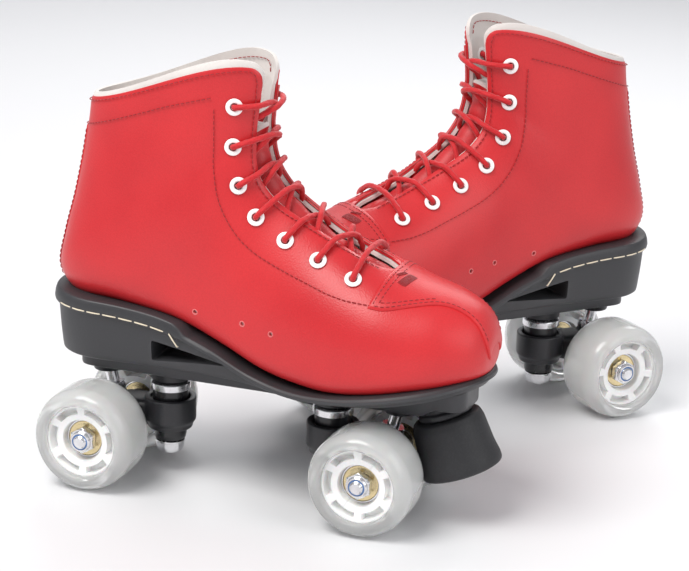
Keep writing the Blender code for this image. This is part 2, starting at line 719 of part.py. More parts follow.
def rod(start, end, radius, count, name, tip=0.0):
    """A round bar between two points, with an optional rounded far end."""
    start, end = Vector(start), Vector(end)
    length = (end - start).length
    profile = [(0, 0), (radius, 0), (radius, length - tip)]
    if tip:
        profile.append((radius * 0.72, length - tip * 0.3))
    profile.append((0, length))
    mesh = turned(profile, count, name)
    mesh.transform(Matrix.Translation(start) @ (end - start).to_track_quat("Z", "Y").to_matrix().to_4x4())
    return mesh


def make_hanger():
    """Axle housing, arm, cushion ring and pivot pin, moulded as one piece."""
    shoulder = TRACK / 2 - WHEEL_WIDTH / 2 - 0.0012
    end = TRACK / 2 - BEARING_FACE - GAP
    tube = turned([(0, -end), (0.0062, -end), (0.0066, -shoulder), (0.0092, -shoulder + 0.0008),
                   (0.0105, -0.006), (0.0105, 0.006), (0.0092, shoulder - 0.0008), (0.0066, shoulder),
                   (0.0062, end), (0, end)],
                  FINE, "axle_housing", axis="Y", centre=(0, 0, AXLE_Z))
    ring_low = RING_Z - RING_HEIGHT / 2
    ring_high = RING_Z + RING_HEIGHT / 2
    radius = RING_DIAMETER / 2
    ring = turned([(0, ring_low), (radius - 0.0022, ring_low), (radius - 0.0018, ring_low + 0.0028),
                   (radius, ring_low + 0.0046), (radius, ring_high - 0.0008), (radius - 0.0008, ring_high),
                   (0, ring_high)], ROUND, "cushion_ring", centre=(KINGPIN_INBOARD, 0, 0))
    sections = []
    for x, half, low, high in ((-0.0062, 0.0085, AXLE_Z - 0.004, AXLE_Z + 0.0115),
                               (0.004, 0.0115, AXLE_Z - 0.0065, AXLE_Z + 0.0135),
                               (KINGPIN_INBOARD - 0.0085, 0.0095, ring_low + 0.0015, ring_high - 0.0025)):
        sections.append([(x, half, low), (x, half, high - 0.004), (x, half - 0.004, high),
                         (x, 0.004 - half, high), (x, -half, high - 0.004), (x, -half, low)])
    arm = lofted(sections, "arm", False)
    pin = rod((0.0005, 0, AXLE_Z + 0.006), (-PIVOT_OUTBOARD, 0, PIVOT_Z + 0.0004),
              PIVOT_PIN_DIAMETER / 2, FINE, "pivot_pin", tip=0.0035)
    pocket = CUSHION_DIAMETER / 2 + 0.0008
    lower = LOWER_CUSHION_DIAMETER / 2 + 0.0007
    web = KINGPIN_DIAMETER / 2 + 0.0019
    hollow = turned([(0, ring_low - 0.002), (lower, ring_low - 0.002), (lower, SHELF_BOTTOM),
                     (web, SHELF_BOTTOM), (web, SHELF_TOP), (pocket, SHELF_TOP), (pocket, ring_high + 0.002),
                     (0, ring_high + 0.002)], ROUND, "pockets", centre=(KINGPIN_INBOARD, 0, 0))
    bore = rod((0, -end - 0.002, AXLE_Z), (0, end + 0.002, AXLE_Z), AXLE_DIAMETER / 2 + GAP, FINE, "bore")
    return combined("hanger", tube, [("UNION", arm), ("UNION", ring), ("UNION", pin),
                                     ("DIFFERENCE", hollow), ("DIFFERENCE", bore)])


def make_nut(side):
    """Solid lock nut against the bearing on one side of the truck."""
    start = TRACK / 2 + BEARING_FACE + GAP
    flats = NUT_FLATS / 2
    sections = [hexagon_ring(flats, start), hexagon_ring(flats, start + NUT_HEIGHT - NUT_CROWN),
                circle_ring(flats * 0.84, start + NUT_HEIGHT)]
    mesh = lofted(sections, "nut")
    mesh.transform(Matrix.Translation((0, 0, AXLE_Z)) @ Matrix.Rotation(math.radians(-90 * side), 4, "X"))
    return mesh


def make_axle():
    """The axle with a lock nut screwed on at each end."""
    reach = TRACK / 2 + AXLE_END
    radius = AXLE_DIAMETER / 2
    profile = [(0, -reach), (radius, -reach), (radius, reach), (0, reach)]
    rod_mesh = turned(profile, FINE, "axle_rod", axis="Y", centre=(0, 0, AXLE_Z))
    return combined("axle", rod_mesh, [("UNION", make_nut(1)), ("UNION", make_nut(-1))])


def make_wheel():
    """Tyre and hub in one turned body, with a seat and a recess on each side."""
    rim = WHEEL_R / math.cos(math.pi / ROUND)
    half, tread = WHEEL_WIDTH / 2, TREAD_WIDTH / 2
    seat = BEARING_OD / 2 + GAP
    land = BEARING_FACE - BEARING_WIDTH - GAP
    outer = [(rim, tread), (rim - 0.0022, half - 0.0026), (rim - 0.0075, half), (seat + 0.0012, half),
             (seat, BEARING_FACE), (seat, land), (seat - 0.0024, land)]
    profile = [(r, -y) for r, y in outer][::-1] + outer
    return turned(profile, ROUND, "wheel", axis="Y", flat_down=True)


def make_bearings():
    """The two ball bearings of a wheel on their spacer, as one turned body."""
    bore, outer, spacer = BEARING_BORE / 2, BEARING_OD / 2, SPACER_OD / 2
    inner_face = BEARING_FACE - BEARING_WIDTH
    profile = [(bore, -BEARING_FACE), (outer, -BEARING_FACE), (outer, -inner_face), (spacer, -inner_face),
               (spacer, inner_face), (outer, inner_face), (outer, BEARING_FACE), (bore, BEARING_FACE)]
    return turned(profile, FINE, "bearings", axis="Y")


# ---------------------------------------------------------------- assembly
def empty(name, parent, place, heading=0.0):
    made = bpy.data.objects.new(name, None)
    bpy.context.scene.collection.objects.link(made)
    made.parent = parent
    made.location = place
    made.rotation_euler = (0, 0, heading)
    return made


def piece(name, mesh, parent, finish_name, origin=(0, 0, 0)):
    """A named object whose mesh is drawn in its skate's or truck's frame."""
    if mesh.materials:
        mesh.materials.clear()
    mesh.materials.append(MATERIALS[finish_name])
    made = bpy.data.objects.new(name, mesh)
    bpy.context.scene.collection.objects.link(made)
    made.parent = parent
    made.location = tuple(-value for value in origin)
    return made


def mirrored(mesh):
    """The same mesh for the other foot, with its faces still pointing out."""
    made = mesh.copy()
    made.transform(Matrix.Scale(-1, 4, (0, 1, 0)))
    made.flip_normals()
    return made


def add_truck(skate, label, end, shapes):
    """Hang a truck under the plate: end is -1 at the rear and 1 at the front."""
    heading = math.pi if end > 0 else 0.0
    pivot = (-PIVOT_OUTBOARD, 0, PIVOT_Z)
    fixed = empty(label + "_stack", skate, (end * AXLE_X, 0, 0), heading)
    hinge = empty(label + "_steering", fixed, pivot)
    for part, finish_name in (("kingpin", "chrome"), ("cup_washer", "chrome"),
                              ("upper_cushion", "cushion"), ("lower_cushion", "cushion")):
        piece(label + "_" + part, shapes[part], fixed, finish_name)
    piece(label + "_hanger", shapes["hanger"], hinge, "nylon", pivot)
    piece(label + "_axle", shapes["axle"], hinge, "chrome", pivot)
    for side, word in ((1, "left"), (-1, "right")):
        across = side * (-1 if end > 0 else 1)
        place = Vector((0, across * TRACK / 2, AXLE_Z)) - Vector(pivot)
        hub = empty(label + "_" + word + "_hub", hinge, place, math.pi if across < 0 else 0.0)
        piece(label + "_" + word + "_wheel", shapes["wheel"], hub, "wheel")
        piece(label + "_" + word + "_bearings", shapes["bearings"], hub, "bearing")


def build():
    for thing in list(bpy.data.objects):
        bpy.data.objects.remove(thing, do_unlink=True)
    global MATERIALS
    MATERIALS = make_materials()
    static = {name: (mesh, "leather") for name, mesh in upper_panels().items()}
    static |= {"tongue": (make_tongue(), "tongue"),
              "laces": (make_laces(), "lace"), "outsole": (make_outsole(), "sole"),
              "plate": (make_plate(), "nylon"), "toe_stop": (make_toe_stop(), "stop")}
    shapes = {"kingpin": make_kingpin(), "cup_washer": make_cup_washer(),
              "upper_cushion": make_upper_cushion(), "lower_cushion": make_lower_cushion(),
              "hanger": make_hanger(), "axle": make_axle(), "wheel": make_wheel(),
              "bearings": make_bearings()}
    skates = []
    for foot, place, heading in (("left", LEFT_PLACE, LEFT_HEADING), ("right", RIGHT_PLACE, RIGHT_HEADING)):
        skate = empty(foot + "_skate", None, (*place, 0), heading)
        skates.append(skate)
        for part, (mesh, finish_name) in static.items():
            shape = mirrored(mesh) if foot == "right" else mesh
            piece(foot + "_" + part, shape, skate, finish_name)
        add_truck(skate, foot + "_rear", -1, shapes)
        add_truck(skate, foot + "_front", 1, shapes)
    centre_pair(skates)


def centre_pair(skates):
    """Move both skates so that the pair's box is centred on the origin."""
    bpy.context.view_layer.update()
    corners = [thing.matrix_world @ vertex.co for thing in bpy.data.objects if thing.type == "MESH"
               for vertex in thing.data.vertices]
    for axis in (0, 1):
        middle = (min(c[axis] for c in corners) + max(c[axis] for c in corners)) / 2
        for skate in skates:
            skate.location[axis] -= middle
    bpy.context.view_layer.update()


build()
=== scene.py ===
# %% [markdown]
# # A pair of laced quad roller skates
# This file is a lesson.  It dresses a finished engineering model, the frame, in leather, lace,
# rubber and steel.  The frame decides where everything is and how it moves; this file decides
# what it looks like.  Each cell makes one thing, and the words above it say why it is made so.

# %% load the frame
import json
import math

import bmesh
import bpy
import numpy as np
from mathutils import Matrix, Vector

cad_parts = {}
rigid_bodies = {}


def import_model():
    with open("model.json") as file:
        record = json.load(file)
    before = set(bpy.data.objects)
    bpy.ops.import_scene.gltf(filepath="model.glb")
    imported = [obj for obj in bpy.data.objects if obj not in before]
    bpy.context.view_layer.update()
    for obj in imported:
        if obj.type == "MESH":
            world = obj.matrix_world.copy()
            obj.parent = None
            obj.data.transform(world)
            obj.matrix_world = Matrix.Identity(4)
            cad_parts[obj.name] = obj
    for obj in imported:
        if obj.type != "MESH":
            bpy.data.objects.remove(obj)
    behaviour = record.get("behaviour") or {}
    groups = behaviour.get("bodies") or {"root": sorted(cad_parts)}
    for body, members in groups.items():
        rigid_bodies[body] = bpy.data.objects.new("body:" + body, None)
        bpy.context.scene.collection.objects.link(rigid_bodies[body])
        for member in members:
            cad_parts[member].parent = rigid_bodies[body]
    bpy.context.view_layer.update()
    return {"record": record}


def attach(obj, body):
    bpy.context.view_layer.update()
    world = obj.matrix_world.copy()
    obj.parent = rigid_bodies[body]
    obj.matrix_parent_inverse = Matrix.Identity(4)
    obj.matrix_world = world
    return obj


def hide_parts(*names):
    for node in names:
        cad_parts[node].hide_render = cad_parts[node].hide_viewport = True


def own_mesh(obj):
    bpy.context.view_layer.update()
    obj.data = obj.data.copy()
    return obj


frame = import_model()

MM = 0.001
FEET = ("left", "right")
ENDS = ("rear", "front")
SIDES = ("left", "right")
JOINTS = {joint["name"]: joint for joint in frame["record"]["behaviour"]["joints"]}

# %% [markdown]
# ## Where each skate stands
# Every piece of a skate is easiest to draw in the skate's own frame: x to the toe, y to the
# outer side of the left foot, z up from the floor.  The two steering joints of a skate lie on
# its middle line, so they give its place and its heading.  The right skate is the left one
# mirrored, and a mirror is a scale of -1, which turns faces inside out, so they are flipped back.

# %% skate frames
def joint_place(name):
    return Vector(JOINTS[name]["pos_m"])


def skate_matrix(foot):
    rear = joint_place(foot + "_rear_steer")
    front = joint_place(foot + "_front_steer")
    along = front - rear
    middle = (front + rear) / 2
    turn = Matrix.Rotation(math.atan2(along.y, along.x), 4, "Z")
    standing = Matrix.Translation((middle.x, middle.y, 0)) @ turn
    return standing @ Matrix.Scale(-1, 4, (0, 1, 0)) if foot == "right" else standing


SKATE = {foot: skate_matrix(foot) for foot in FEET}
for foot in FEET:
    print(foot, "skate at", [round(v, 4) for v in SKATE[foot].translation])

# %% [markdown]
# ## Camera
# A product shot: a long lens from a little above the pair, tipped down and rolled a touch.  A
# camera is a matrix whose columns are its right, its up and its back, so it can be built from
# three angles without guessing at Euler order.

# %% camera
def make_camera():
    eye = Vector((-0.01425, -1.22825, 0.472))
    pitch = math.radians(17.06)
    roll = math.radians(1.79)
    ahead = Vector((0, math.cos(pitch), -math.sin(pitch)))
    level_up = Vector((0, math.sin(pitch), math.cos(pitch)))
    right = Vector((math.cos(roll), 0, 0)) + level_up * math.sin(roll)
    up = right.cross(ahead)
    data = bpy.data.cameras.new("camera")
    data.sensor_width = 36
    data.lens = 117.7
    data.clip_start = 0.05
    camera = bpy.data.objects.new("camera", data)
    turn = Matrix((right, up, -ahead)).transposed().to_4x4()
    camera.matrix_world = Matrix.Translation(eye) @ turn
    bpy.context.scene.collection.objects.link(camera)
    bpy.context.scene.camera = camera
    return camera


camera = make_camera()
print("lens", camera.data.lens, "mm")

# %% [markdown]
# ## Materials
# Blender's shader nodes work on a place in space.  Object coordinates are in metres here, so a
# texture's scale is "features per metre": a leather grain of 0.8 mm is a scale of about 1200.
# One small helper wires coordinates, textures and bump, and each finish then sets its own
# numbers.  Values that are the same all over are set on the Principled shader itself.

# %% material helpers
def new_material(name, colour, roughness, metallic=0.0):
    made = bpy.data.materials.new(name)
    made.use_nodes = True
    shader = made.node_tree.nodes["Principled BSDF"]
    shader.inputs["Base Color"].default_value = (*colour, 1)
    shader.inputs["Roughness"].default_value = roughness
    shader.inputs["Metallic"].default_value = metallic
    return made, shader


def node(made, kind, inputs=None, **settings):
    item = made.node_tree.nodes.new(kind)
    for key, value in settings.items():
        setattr(item, key, value)
    for key, value in (inputs or {}).items():
        item.inputs[key].default_value = value
    return item


def link(made, source, target):
    made.node_tree.links.new(source, target)


def coordinates(made, scale=(1, 1, 1)):
    place = node(made, "ShaderNodeTexCoord")
    mapping = node(made, "ShaderNodeMapping", {"Scale": scale})
    link(made, place.outputs["Object"], mapping.inputs["Vector"])
    return mapping.outputs["Vector"]


def noise(made, where, scale, detail=3, rough=0.55):
    item = node(made, "ShaderNodeTexNoise", {"Scale": scale, "Detail": detail, "Roughness": rough})
    link(made, where, item.inputs["Vector"])
    return item.outputs["Fac"]


def ramp(made, source, stops):
    item = node(made, "ShaderNodeValToRGB")
    elements = item.color_ramp.elements
    while len(elements) < len(stops):
        elements.new(0.5)
    for element, (place, colour) in zip(elements, stops):
        element.position = place
        element.color = (*colour, 1)
    link(made, source, item.inputs["Fac"])
    return item.outputs["Color"]


def spread(made, source, low, high, start=0.0, end=1.0):
    item = node(made, "ShaderNodeMapRange", {"From Min": start, "From Max": end,
                                             "To Min": low, "To Max": high})
    link(made, source, item.inputs["Value"])
    return item.outputs["Result"]


def mix(made, share, first, second, blend="MIX"):
    item = node(made, "ShaderNodeMix", data_type="RGBA", blend_type=blend)
    for value, socket in ((share, item.inputs[0]), (first, item.inputs[6]), (second, item.inputs[7])):
        if hasattr(value, "is_linked"):
            link(made, value, socket)
        else:
            socket.default_value = value if socket.type == "VALUE" else (*value, 1)
    return item.outputs[2]


def bump(made, shader, layers):
    """Layers are (height, strength, depth in metres), the coarsest first."""
    normal = None
    for height, strength, depth in layers:
        item = node(made, "ShaderNodeBump", {"Strength": strength, "Distance": depth})
        link(made, height, item.inputs["Height"])
        if normal:
            link(made, normal, item.inputs["Normal"])
        normal = item.outputs["Normal"]
    link(made, normal, shader.inputs["Normal"])


def worn_edges(made, start=0.52, end=0.62):
    """Where a surface bends outwards sharply, the finish rubs: 1 on such edges, 0 elsewhere."""
    shape = node(made, "ShaderNodeNewGeometry")
    return spread(made, shape.outputs["Pointiness"], 0, 1, start, end)


print("material helpers ready")

# %% [markdown]
# ### Leather
# Coated leather has a pebbled grain: small rounded cells with fine creases between them.  A
# Voronoi texture gives the cells, and its distance to the cell's edge gives the creases in the
# relief and a painted shade that darkens the colour towards them.  A slow noise makes some
# areas tighter and glossier than others.

# %% leather
def leather(name, colour, shade, roughness, grain=1150.0, relief=0.00014):
    made, shader = new_material(name, colour, roughness)
    where = coordinates(made)
    slow = noise(made, where, 18, 2)
    fine = noise(made, where, 2600, 2)
    cells = node(made, "ShaderNodeTexVoronoi", {"Scale": grain, "Randomness": 0.9},
                 feature="SMOOTH_F1")
    cells.inputs["Smoothness"].default_value = 0.35
    link(made, where, cells.inputs["Vector"])
    body = mix(made, spread(made, slow, 0.0, 1.0, 0.3, 0.7), shade, colour)
    # Painted shade: the colour is darkened towards the creases between the grain's cells.
    painted_crease_shade = ramp(made, cells.outputs["Distance"], [(0.0, (1, 1, 1)), (0.75, (0.82, 0.8, 0.8))])
    toned = mix(made, 0.5, body, painted_crease_shade, "MULTIPLY")
    rubbed = mix(made, worn_edges(made, 0.55, 0.75), toned, [min(1, c * 1.25 + 0.03) for c in colour])
    link(made, rubbed, shader.inputs["Base Color"])
    link(made, spread(made, slow, roughness - 0.05, roughness + 0.07, 0.3, 0.7), shader.inputs["Roughness"])
    shader.inputs["Coat Weight"].default_value = 0.12
    shader.inputs["Coat Roughness"].default_value = 0.35
    bump(made, shader, [(cells.outputs["Distance"], 0.5, relief), (fine, 0.2, relief * 0.4)])
    return made


RED = (0.70, 0.022, 0.027)
RED_SHADE = (0.60, 0.014, 0.020)
red_leather = leather("red_leather", RED, RED_SHADE, 0.40)
tongue_leather = leather("tongue_leather", (0.66, 0.028, 0.035), (0.55, 0.015, 0.02), 0.48, 900)
edge_leather = leather("cut_edge_leather", (0.80, 0.20, 0.20), (0.70, 0.12, 0.12), 0.6, 1600)
print("leathers:", red_leather.name, tongue_leather.name, edge_leather.name)

# %% [markdown]
# ### Cloth, thread and lace
# The lining is a brushed cloth, so it takes a fine weave and a little sheen.  A weave is two
# sets of bands at right angles.  The thread and the lace are twisted or braided yarn: their
# form is real geometry further down, and the material only adds the fibres.

# %% cloth, thread and lace
def woven(name, colour, shade, pitch, roughness=0.85, sheen=0.35):
    made, shader = new_material(name, colour, roughness)
    where = coordinates(made)
    bands = []
    for direction in ("X", "Y", "Z"):
        wave = node(made, "ShaderNodeTexWave", {"Scale": 0.314 / pitch, "Distortion": 0.6,
                                                "Detail": 1.0}, bands_direction=direction)
        link(made, where, wave.inputs["Vector"])
        bands.append(wave.outputs["Fac"])
    first = node(made, "ShaderNodeMath", operation="MULTIPLY")
    link(made, bands[0], first.inputs[0])
    link(made, bands[1], first.inputs[1])
    weave = node(made, "ShaderNodeMath", operation="ADD")
    link(made, first.outputs[0], weave.inputs[0])
    link(made, bands[2], weave.inputs[1])
    slow = noise(made, where, 30, 3)
    body = mix(made, spread(made, slow, 0, 1, 0.3, 0.7), shade, colour)
    fabric = mix(made, spread(made, weave.outputs[0], 0.0, 0.35, 0, 2), body, shade)
    link(made, fabric, shader.inputs["Base Color"])
    shader.inputs["Sheen Weight"].default_value = sheen
    shader.inputs["Sheen Roughness"].default_value = 0.5
    bump(made, shader, [(slow, 0.25, 0.0006), (weave.outputs[0], 0.35, 0.0002)])
    return made


def yarn(name, colour, shade, fibre, roughness=0.7, sheen=0.25):
    made, shader = new_material(name, colour, roughness)
    where = coordinates(made)
    fibres = noise(made, where, fibre, 4, 0.7)
    slow = noise(made, where, 60, 2)
    body = mix(made, spread(made, fibres, 0, 1, 0.35, 0.65), shade, colour)
    link(made, mix(made, spread(made, slow, 0, 0.35, 0.3, 0.7), body, shade), shader.inputs["Base Color"])
    hollows = spread(made, node(made, "ShaderNodeNewGeometry").outputs["Pointiness"], 0.62, 1.0, 0.42, 0.5)
    shader.inputs["Sheen Weight"].default_value = sheen
    link(made, spread(made, hollows, roughness + 0.15, roughness), shader.inputs["Roughness"])
    bump(made, shader, [(fibres, 0.45, 0.00018)])
    return made


lining_cloth = woven("lining_cloth", (0.80, 0.76, 0.72), (0.68, 0.63, 0.60), 0.0006)
red_lace = yarn("red_lace", (0.72, 0.012, 0.020), (0.50, 0.005, 0.010), 2400)
red_thread = yarn("red_thread", (0.42, 0.006, 0.012), (0.26, 0.003, 0.006), 3500, 0.6)
cream_thread = yarn("cream_thread", (0.86, 0.78, 0.62), (0.70, 0.60, 0.44), 3500, 0.6)
print("cloths:", lining_cloth.name, red_lace.name, red_thread.name, cream_thread.name)

# %% [markdown]
# ### Rubber and plastic
# Moulded rubber and nylon copy the fine spark-eroded texture of their tool.  It is a fine
# noise in the bump, with a slower noise in the roughness for where hands have polished it.
# Edges are a little paler, as they scuff first.

# %% rubber and plastic
def moulded(name, colour, roughness, texture=1800.0, relief=0.00006, scuff=1.7, coat=0.0):
    made, shader = new_material(name, colour, roughness)
    where = coordinates(made)
    skin = noise(made, where, texture, 3, 0.6)
    slow = noise(made, where, 25, 3)
    scuffed = [min(1, c * scuff + 0.012) for c in colour]
    cloudy = mix(made, spread(made, slow, 0, 1, 0.3, 0.7), colour, [c * 1.22 for c in colour])
    speckled = mix(made, spread(made, skin, 0, 0.25, 0.45, 0.7), cloudy, scuffed)
    link(made, mix(made, worn_edges(made), speckled, scuffed), shader.inputs["Base Color"])
    link(made, spread(made, slow, roughness - 0.07, roughness + 0.08, 0.3, 0.7), shader.inputs["Roughness"])
    shader.inputs["Coat Weight"].default_value = coat
    bump(made, shader, [(skin, 0.5, relief)])
    return made


sole_rubber = moulded("sole_rubber", (0.031, 0.031, 0.034), 0.46)
black_nylon = moulded("black_nylon", (0.020, 0.020, 0.023), 0.40, 1200, 0.00005)
stop_rubber = moulded("stop_rubber", (0.017, 0.017, 0.019), 0.62, 900, 0.00010)
cushion_urethane = moulded("cushion_urethane", (0.012, 0.012, 0.014), 0.30, 700, 0.00003, 1.4, 0.2)
core_nylon = moulded("white_core_nylon", (0.86, 0.86, 0.85), 0.32, 700, 0.00003, 1.0, 0.1)
eyelet_enamel = moulded("white_enamel", (0.88, 0.88, 0.87), 0.25, 500, 0.00002, 1.0, 0.5)
blue_nylon = moulded("blue_nylon", (0.10, 0.22, 0.50), 0.35, 700, 0.00003, 1.0, 0.1)
core_nylon.node_tree.nodes["Principled BSDF"].inputs["Subsurface Weight"].default_value = 0.12
core_nylon.node_tree.nodes["Principled BSDF"].inputs["Subsurface Scale"].default_value = 0.003
print("mouldings:", sole_rubber.name, black_nylon.name, stop_rubber.name, core_nylon.name)

# %% [markdown]
# ### Metal and clear urethane
# Zinc-plated steel is bright with a faint cloudiness.  The tyre is clear urethane with some
# milk in it: mostly transmission, with a share of plain white, and slow flow lines from the
# mould in its bump.

# %% metal and urethane
def plated(name, colour, roughness, brushed=900.0):
    made, shader = new_material(name, colour, roughness, 1.0)
    where = coordinates(made)
    scratches = noise(made, coordinates(made, (1, 1, 6)), brushed, 3, 0.7)
    slow = noise(made, where, 140, 3)
    tinted = mix(made, spread(made, slow, 0, 1, 0.3, 0.7), colour, [c * 0.82 for c in colour])
    link(made, tinted, shader.inputs["Base Color"])
    link(made, spread(made, scratches, roughness * 0.7, roughness * 1.5, 0.3, 0.7),
         shader.inputs["Roughness"])
    bump(made, shader, [(scratches, 0.12, 0.00003)])
    return made


def clear_urethane():
    made, shader = new_material("clear_urethane", (0.94, 0.945, 0.935), 0.10)
    where = coordinates(made)
    flow = noise(made, where, 45, 2)
    dust = noise(made, where, 900, 3)
    shader.inputs["Transmission Weight"].default_value = 0.66
    shader.inputs["IOR"].default_value = 1.48
    link(made, spread(made, dust, 0.08, 0.22, 0.4, 0.75), shader.inputs["Roughness"])
    bump(made, shader, [(flow, 0.25, 0.0012), (dust, 0.1, 0.00003)])
    return made


bright_steel = plated("bright_steel", (0.80, 0.80, 0.82), 0.20)
gold_shield = plated("gold_shield", (0.83, 0.69, 0.40), 0.26)
# Painted shade: this darker steel fills the hollow between a bearing's races, where a real bearing shows
# shade.
bearing_gap_shade = plated("bearing_gap_shade", (0.30, 0.30, 0.31), 0.38)
tyre_urethane = clear_urethane()
print("metals:", bright_steel.name, gold_shield.name, "and", tyre_urethane.name)

# %% [markdown]
# ## Mesh tools
# Most pieces here are one of four forms: a profile turned round an axis, a loft through rings,
# a strip laid on the boot's surface, or a tube along a path.  Each helper returns a plain mesh
# in the skate's own frame, and `wear` puts it on both feet.

# %% mesh tools
def finished(bm, name, materials, smooth_angle=40):
    bmesh.ops.remove_doubles(bm, verts=bm.verts, dist=1e-6)
    bmesh.ops.dissolve_degenerate(bm, dist=1e-6, edges=bm.edges)
    bmesh.ops.recalc_face_normals(bm, faces=bm.faces)
    mesh = bpy.data.meshes.new(name)
    bm.to_mesh(mesh)
    bm.free()
    for item in materials:
        mesh.materials.append(item)
    mesh.shade_smooth()
    mesh.set_sharp_from_angle(angle=math.radians(smooth_angle))
    return mesh


def bridge(bm, low, high, paint=0):
    count = max(len(low), len(high))
    for i in range(count):
        j = (i + 1) % count
        if len(low) == 1:
            corners = (low[0], high[j], high[i])
        elif len(high) == 1:
            corners = (low[i], low[j], high[0])
        else:
            corners = (low[i], low[j], high[j], high[i])
        bm.faces.new(corners).material_index = paint


def loft_into(bm, rings, paint=0, closed=False, caps=True):
    """Add a skin through rings of points; a one-point ring is a tip."""
    made = [[bm.verts.new(p) for p in ring] for ring in rings]
    for low, high in zip(made, made[1:] + (made[:1] if closed else [])):
        bridge(bm, low, high, paint)
    if caps and not closed:
        for ring in (made[0], made[-1]):
            if len(ring) > 2:
                bm.faces.new(ring).material_index = paint


def turned_rings(profile, count, axis="Z", centre=(0, 0, 0), shape=None):
    """Rings for (radius, height) points; shape(angle, radius, height) may reshape each point."""
    rings = []
    for radius, height in profile:
        if radius <= 0:
            points = [Vector((0, 0, height))]
        else:
            points = []
            for i in range(count):
                angle = 2 * math.pi * i / count
                r, h = shape(angle, radius, height) if shape else (radius, height)
                points.append(Vector((r * math.cos(angle), r * math.sin(angle), h)))
        if axis == "Y":
            points = [Vector((p.x, p.z, -p.y)) for p in points]
        rings.append([p + Vector(centre) for p in points])
    return rings


def rounded_profile(corners, steps=3):
    """A profile whose corners (radius, height, fillet) are rounded by short arcs."""
    made = []
    for k, (r, h, fillet) in enumerate(corners):
        if fillet <= 0 or k in (0, len(corners) - 1):
            made.append((r, h))
            continue
        here = Vector((r, h))
        back = Vector(corners[k - 1][:2]) - here
        on = Vector(corners[k + 1][:2]) - here
        cut = min(fillet, back.length * 0.48, on.length * 0.48)
        a, b = here + back.normalized() * cut, here + on.normalized() * cut
        for i in range(steps + 1):
            t = i / steps
            p = a.lerp(here, t).lerp(here.lerp(b, t), t)
            made.append((max(p.x, 0.0), p.y))
    return made


def tube_into(bm, centres, radius, count=10, paint=0, tips=True, braid=None):
    """A tube along points; frames are carried along without twist."""
    centres = [Vector(c) for c in centres]
    last = len(centres) - 1
    ways = [(centres[min(i + 1, last)] - centres[max(i - 1, 0)]).normalized() for i in range(last + 1)]
    side = ways[0].orthogonal().normalized()
    rings = []
    for i, (centre, way) in enumerate(zip(centres, ways)):
        side = (side - way * side.dot(way)).normalized()
        other = way.cross(side)
        ring = []
        for k in range(count):
            angle = 2 * math.pi * k / count
            r = radius[i] if isinstance(radius, list) else radius
            if braid:
                r *= braid(i, angle)
            ring.append(centre + side * (r * math.cos(angle)) + other * (r * math.sin(angle)))
        rings.append(ring)
    if tips:
        rings = [[centres[0]]] + rings + [[centres[-1]]]
    loft_into(bm, rings, paint)


def wear(name, mesh, body, stands_for=(), place=None):
    """Put a piece on both skates.  body and stands_for are given without the foot's name."""
    made = {}
    for foot in FEET:
        shape = mesh.copy()
        matrix = SKATE[foot] @ (place or Matrix.Identity(4))
        shape.transform(matrix)
        if matrix.determinant() < 0:
            shape.flip_normals()
        piece = bpy.data.objects.new(foot + "_" + name, shape)
        bpy.context.scene.collection.objects.link(piece)
        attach(piece, foot + "_" + body)
        if stands_for:
            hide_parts(*[foot + "_" + cad_node for cad_node in stands_for])
        made[foot] = piece
    return made


print("mesh tools ready")

# %% [markdown]
# ## The boot's surface
# The boot is drawn as rings.  They start at the toe, turn through the heel and end at the
# collar, and each runs from a bottom or back line to a top or front line.  These are the
# engineering model's own rings, so a panel placed on them fits it.  The surface is sampled once
# into a table, and every seam, stitch, eyelet and lace asks the table for its place: `u` is the
# ring, and `arc` is the distance along the surface from the front line, in millimetres.

# %% the last
STATIONS = [
    (248.0, -9.0, 248.3, -1.5, 7, 7, 0.50, 2.0, 2.0),
    (246.3, -14.5, 246.4, 8.0, 16, 15, 0.45, 2.2, 2.0),
    (240.0, -18.5, 240.2, 18.0, 25, 23, 0.42, 2.6, 2.0),
    (228.0, -21.5, 226.0, 25.5, 34, 31, 0.38, 3.2, 2.1),
    (211.0, -24.5, 209.5, 30.0, 40, 37, 0.35, 3.8, 2.1),
    (191.5, -27.5, 193.5, 36.0, 43, 42, 0.33, 4.4, 2.1),
    (170.0, -29.3, 175.0, 43.8, 42, 44, 0.31, 5.0, 2.0),
    (150.0, -28.2, 158.5, 52.5, 39, 42.5, 0.30, 5.0, 1.9),
    (128.0, -24.0, 144.5, 62.0, 35, 40, 0.30, 5.0, 1.9),
    (103.0, -14.0, 132.5, 72.0, 31.5, 37, 0.32, 5.0, 1.9),
    (76.5, -4.8, 125.0, 82.0, 30.5, 34.5, 0.36, 4.6, 2.0),
    (42.0, 0.0, 122.5, 91.0, 31, 33, 0.40, 4.0, 2.1),
    (13.5, 1.5, 122.0, 98.5, 30.5, 31.5, 0.42, 3.2, 2.2),
    (0.8, 13.5, 122.0, 105.0, 29, 29.5, 0.44, 2.6, 2.2),
    (3.0, 33.0, 122.5, 111.5, 27.5, 28, 0.46, 2.4, 2.2),
    (8.5, 55.0, 123.2, 117.5, 26.5, 27, 0.48, 2.3, 2.2),
    (13.0, 78.0, 124.0, 123.0, 25.5, 26, 0.50, 2.2, 2.2),
    (16.0, 97.0, 124.8, 127.0, 25, 25.5, 0.50, 2.2, 2.2),
    (17.8, 113.0, 125.5, 129.0, 25, 25.5, 0.50, 2.2, 2.2),
]
TOP = len(STATIONS) - 1
BOOT_HEEL = -111.5            # heel back, from the middle of the wheelbase, in millimetres
SEAT = 100.7                  # heel seat above the floor
DECK = 70.5                   # top of the plate
COLLAR_PEAK = 14.0
PEAK_SHAPE = 0.243
WALL = 4.0                    # leather and lining together


def smooth_value(values, u):
    """Catmull-Rom through evenly spaced values."""
    last = len(values) - 1
    i = min(max(int(math.floor(u)), 0), last - 1)
    t = u - i
    a, b, c, d = (values[min(max(k, 0), last)] for k in (i - 1, i, i + 1, i + 2))
    return 0.5 * (2 * b + (c - a) * t + (2 * a - 5 * b + 4 * c - d) * t * t
                  + (3 * b - a - 3 * c + d) * t ** 3)


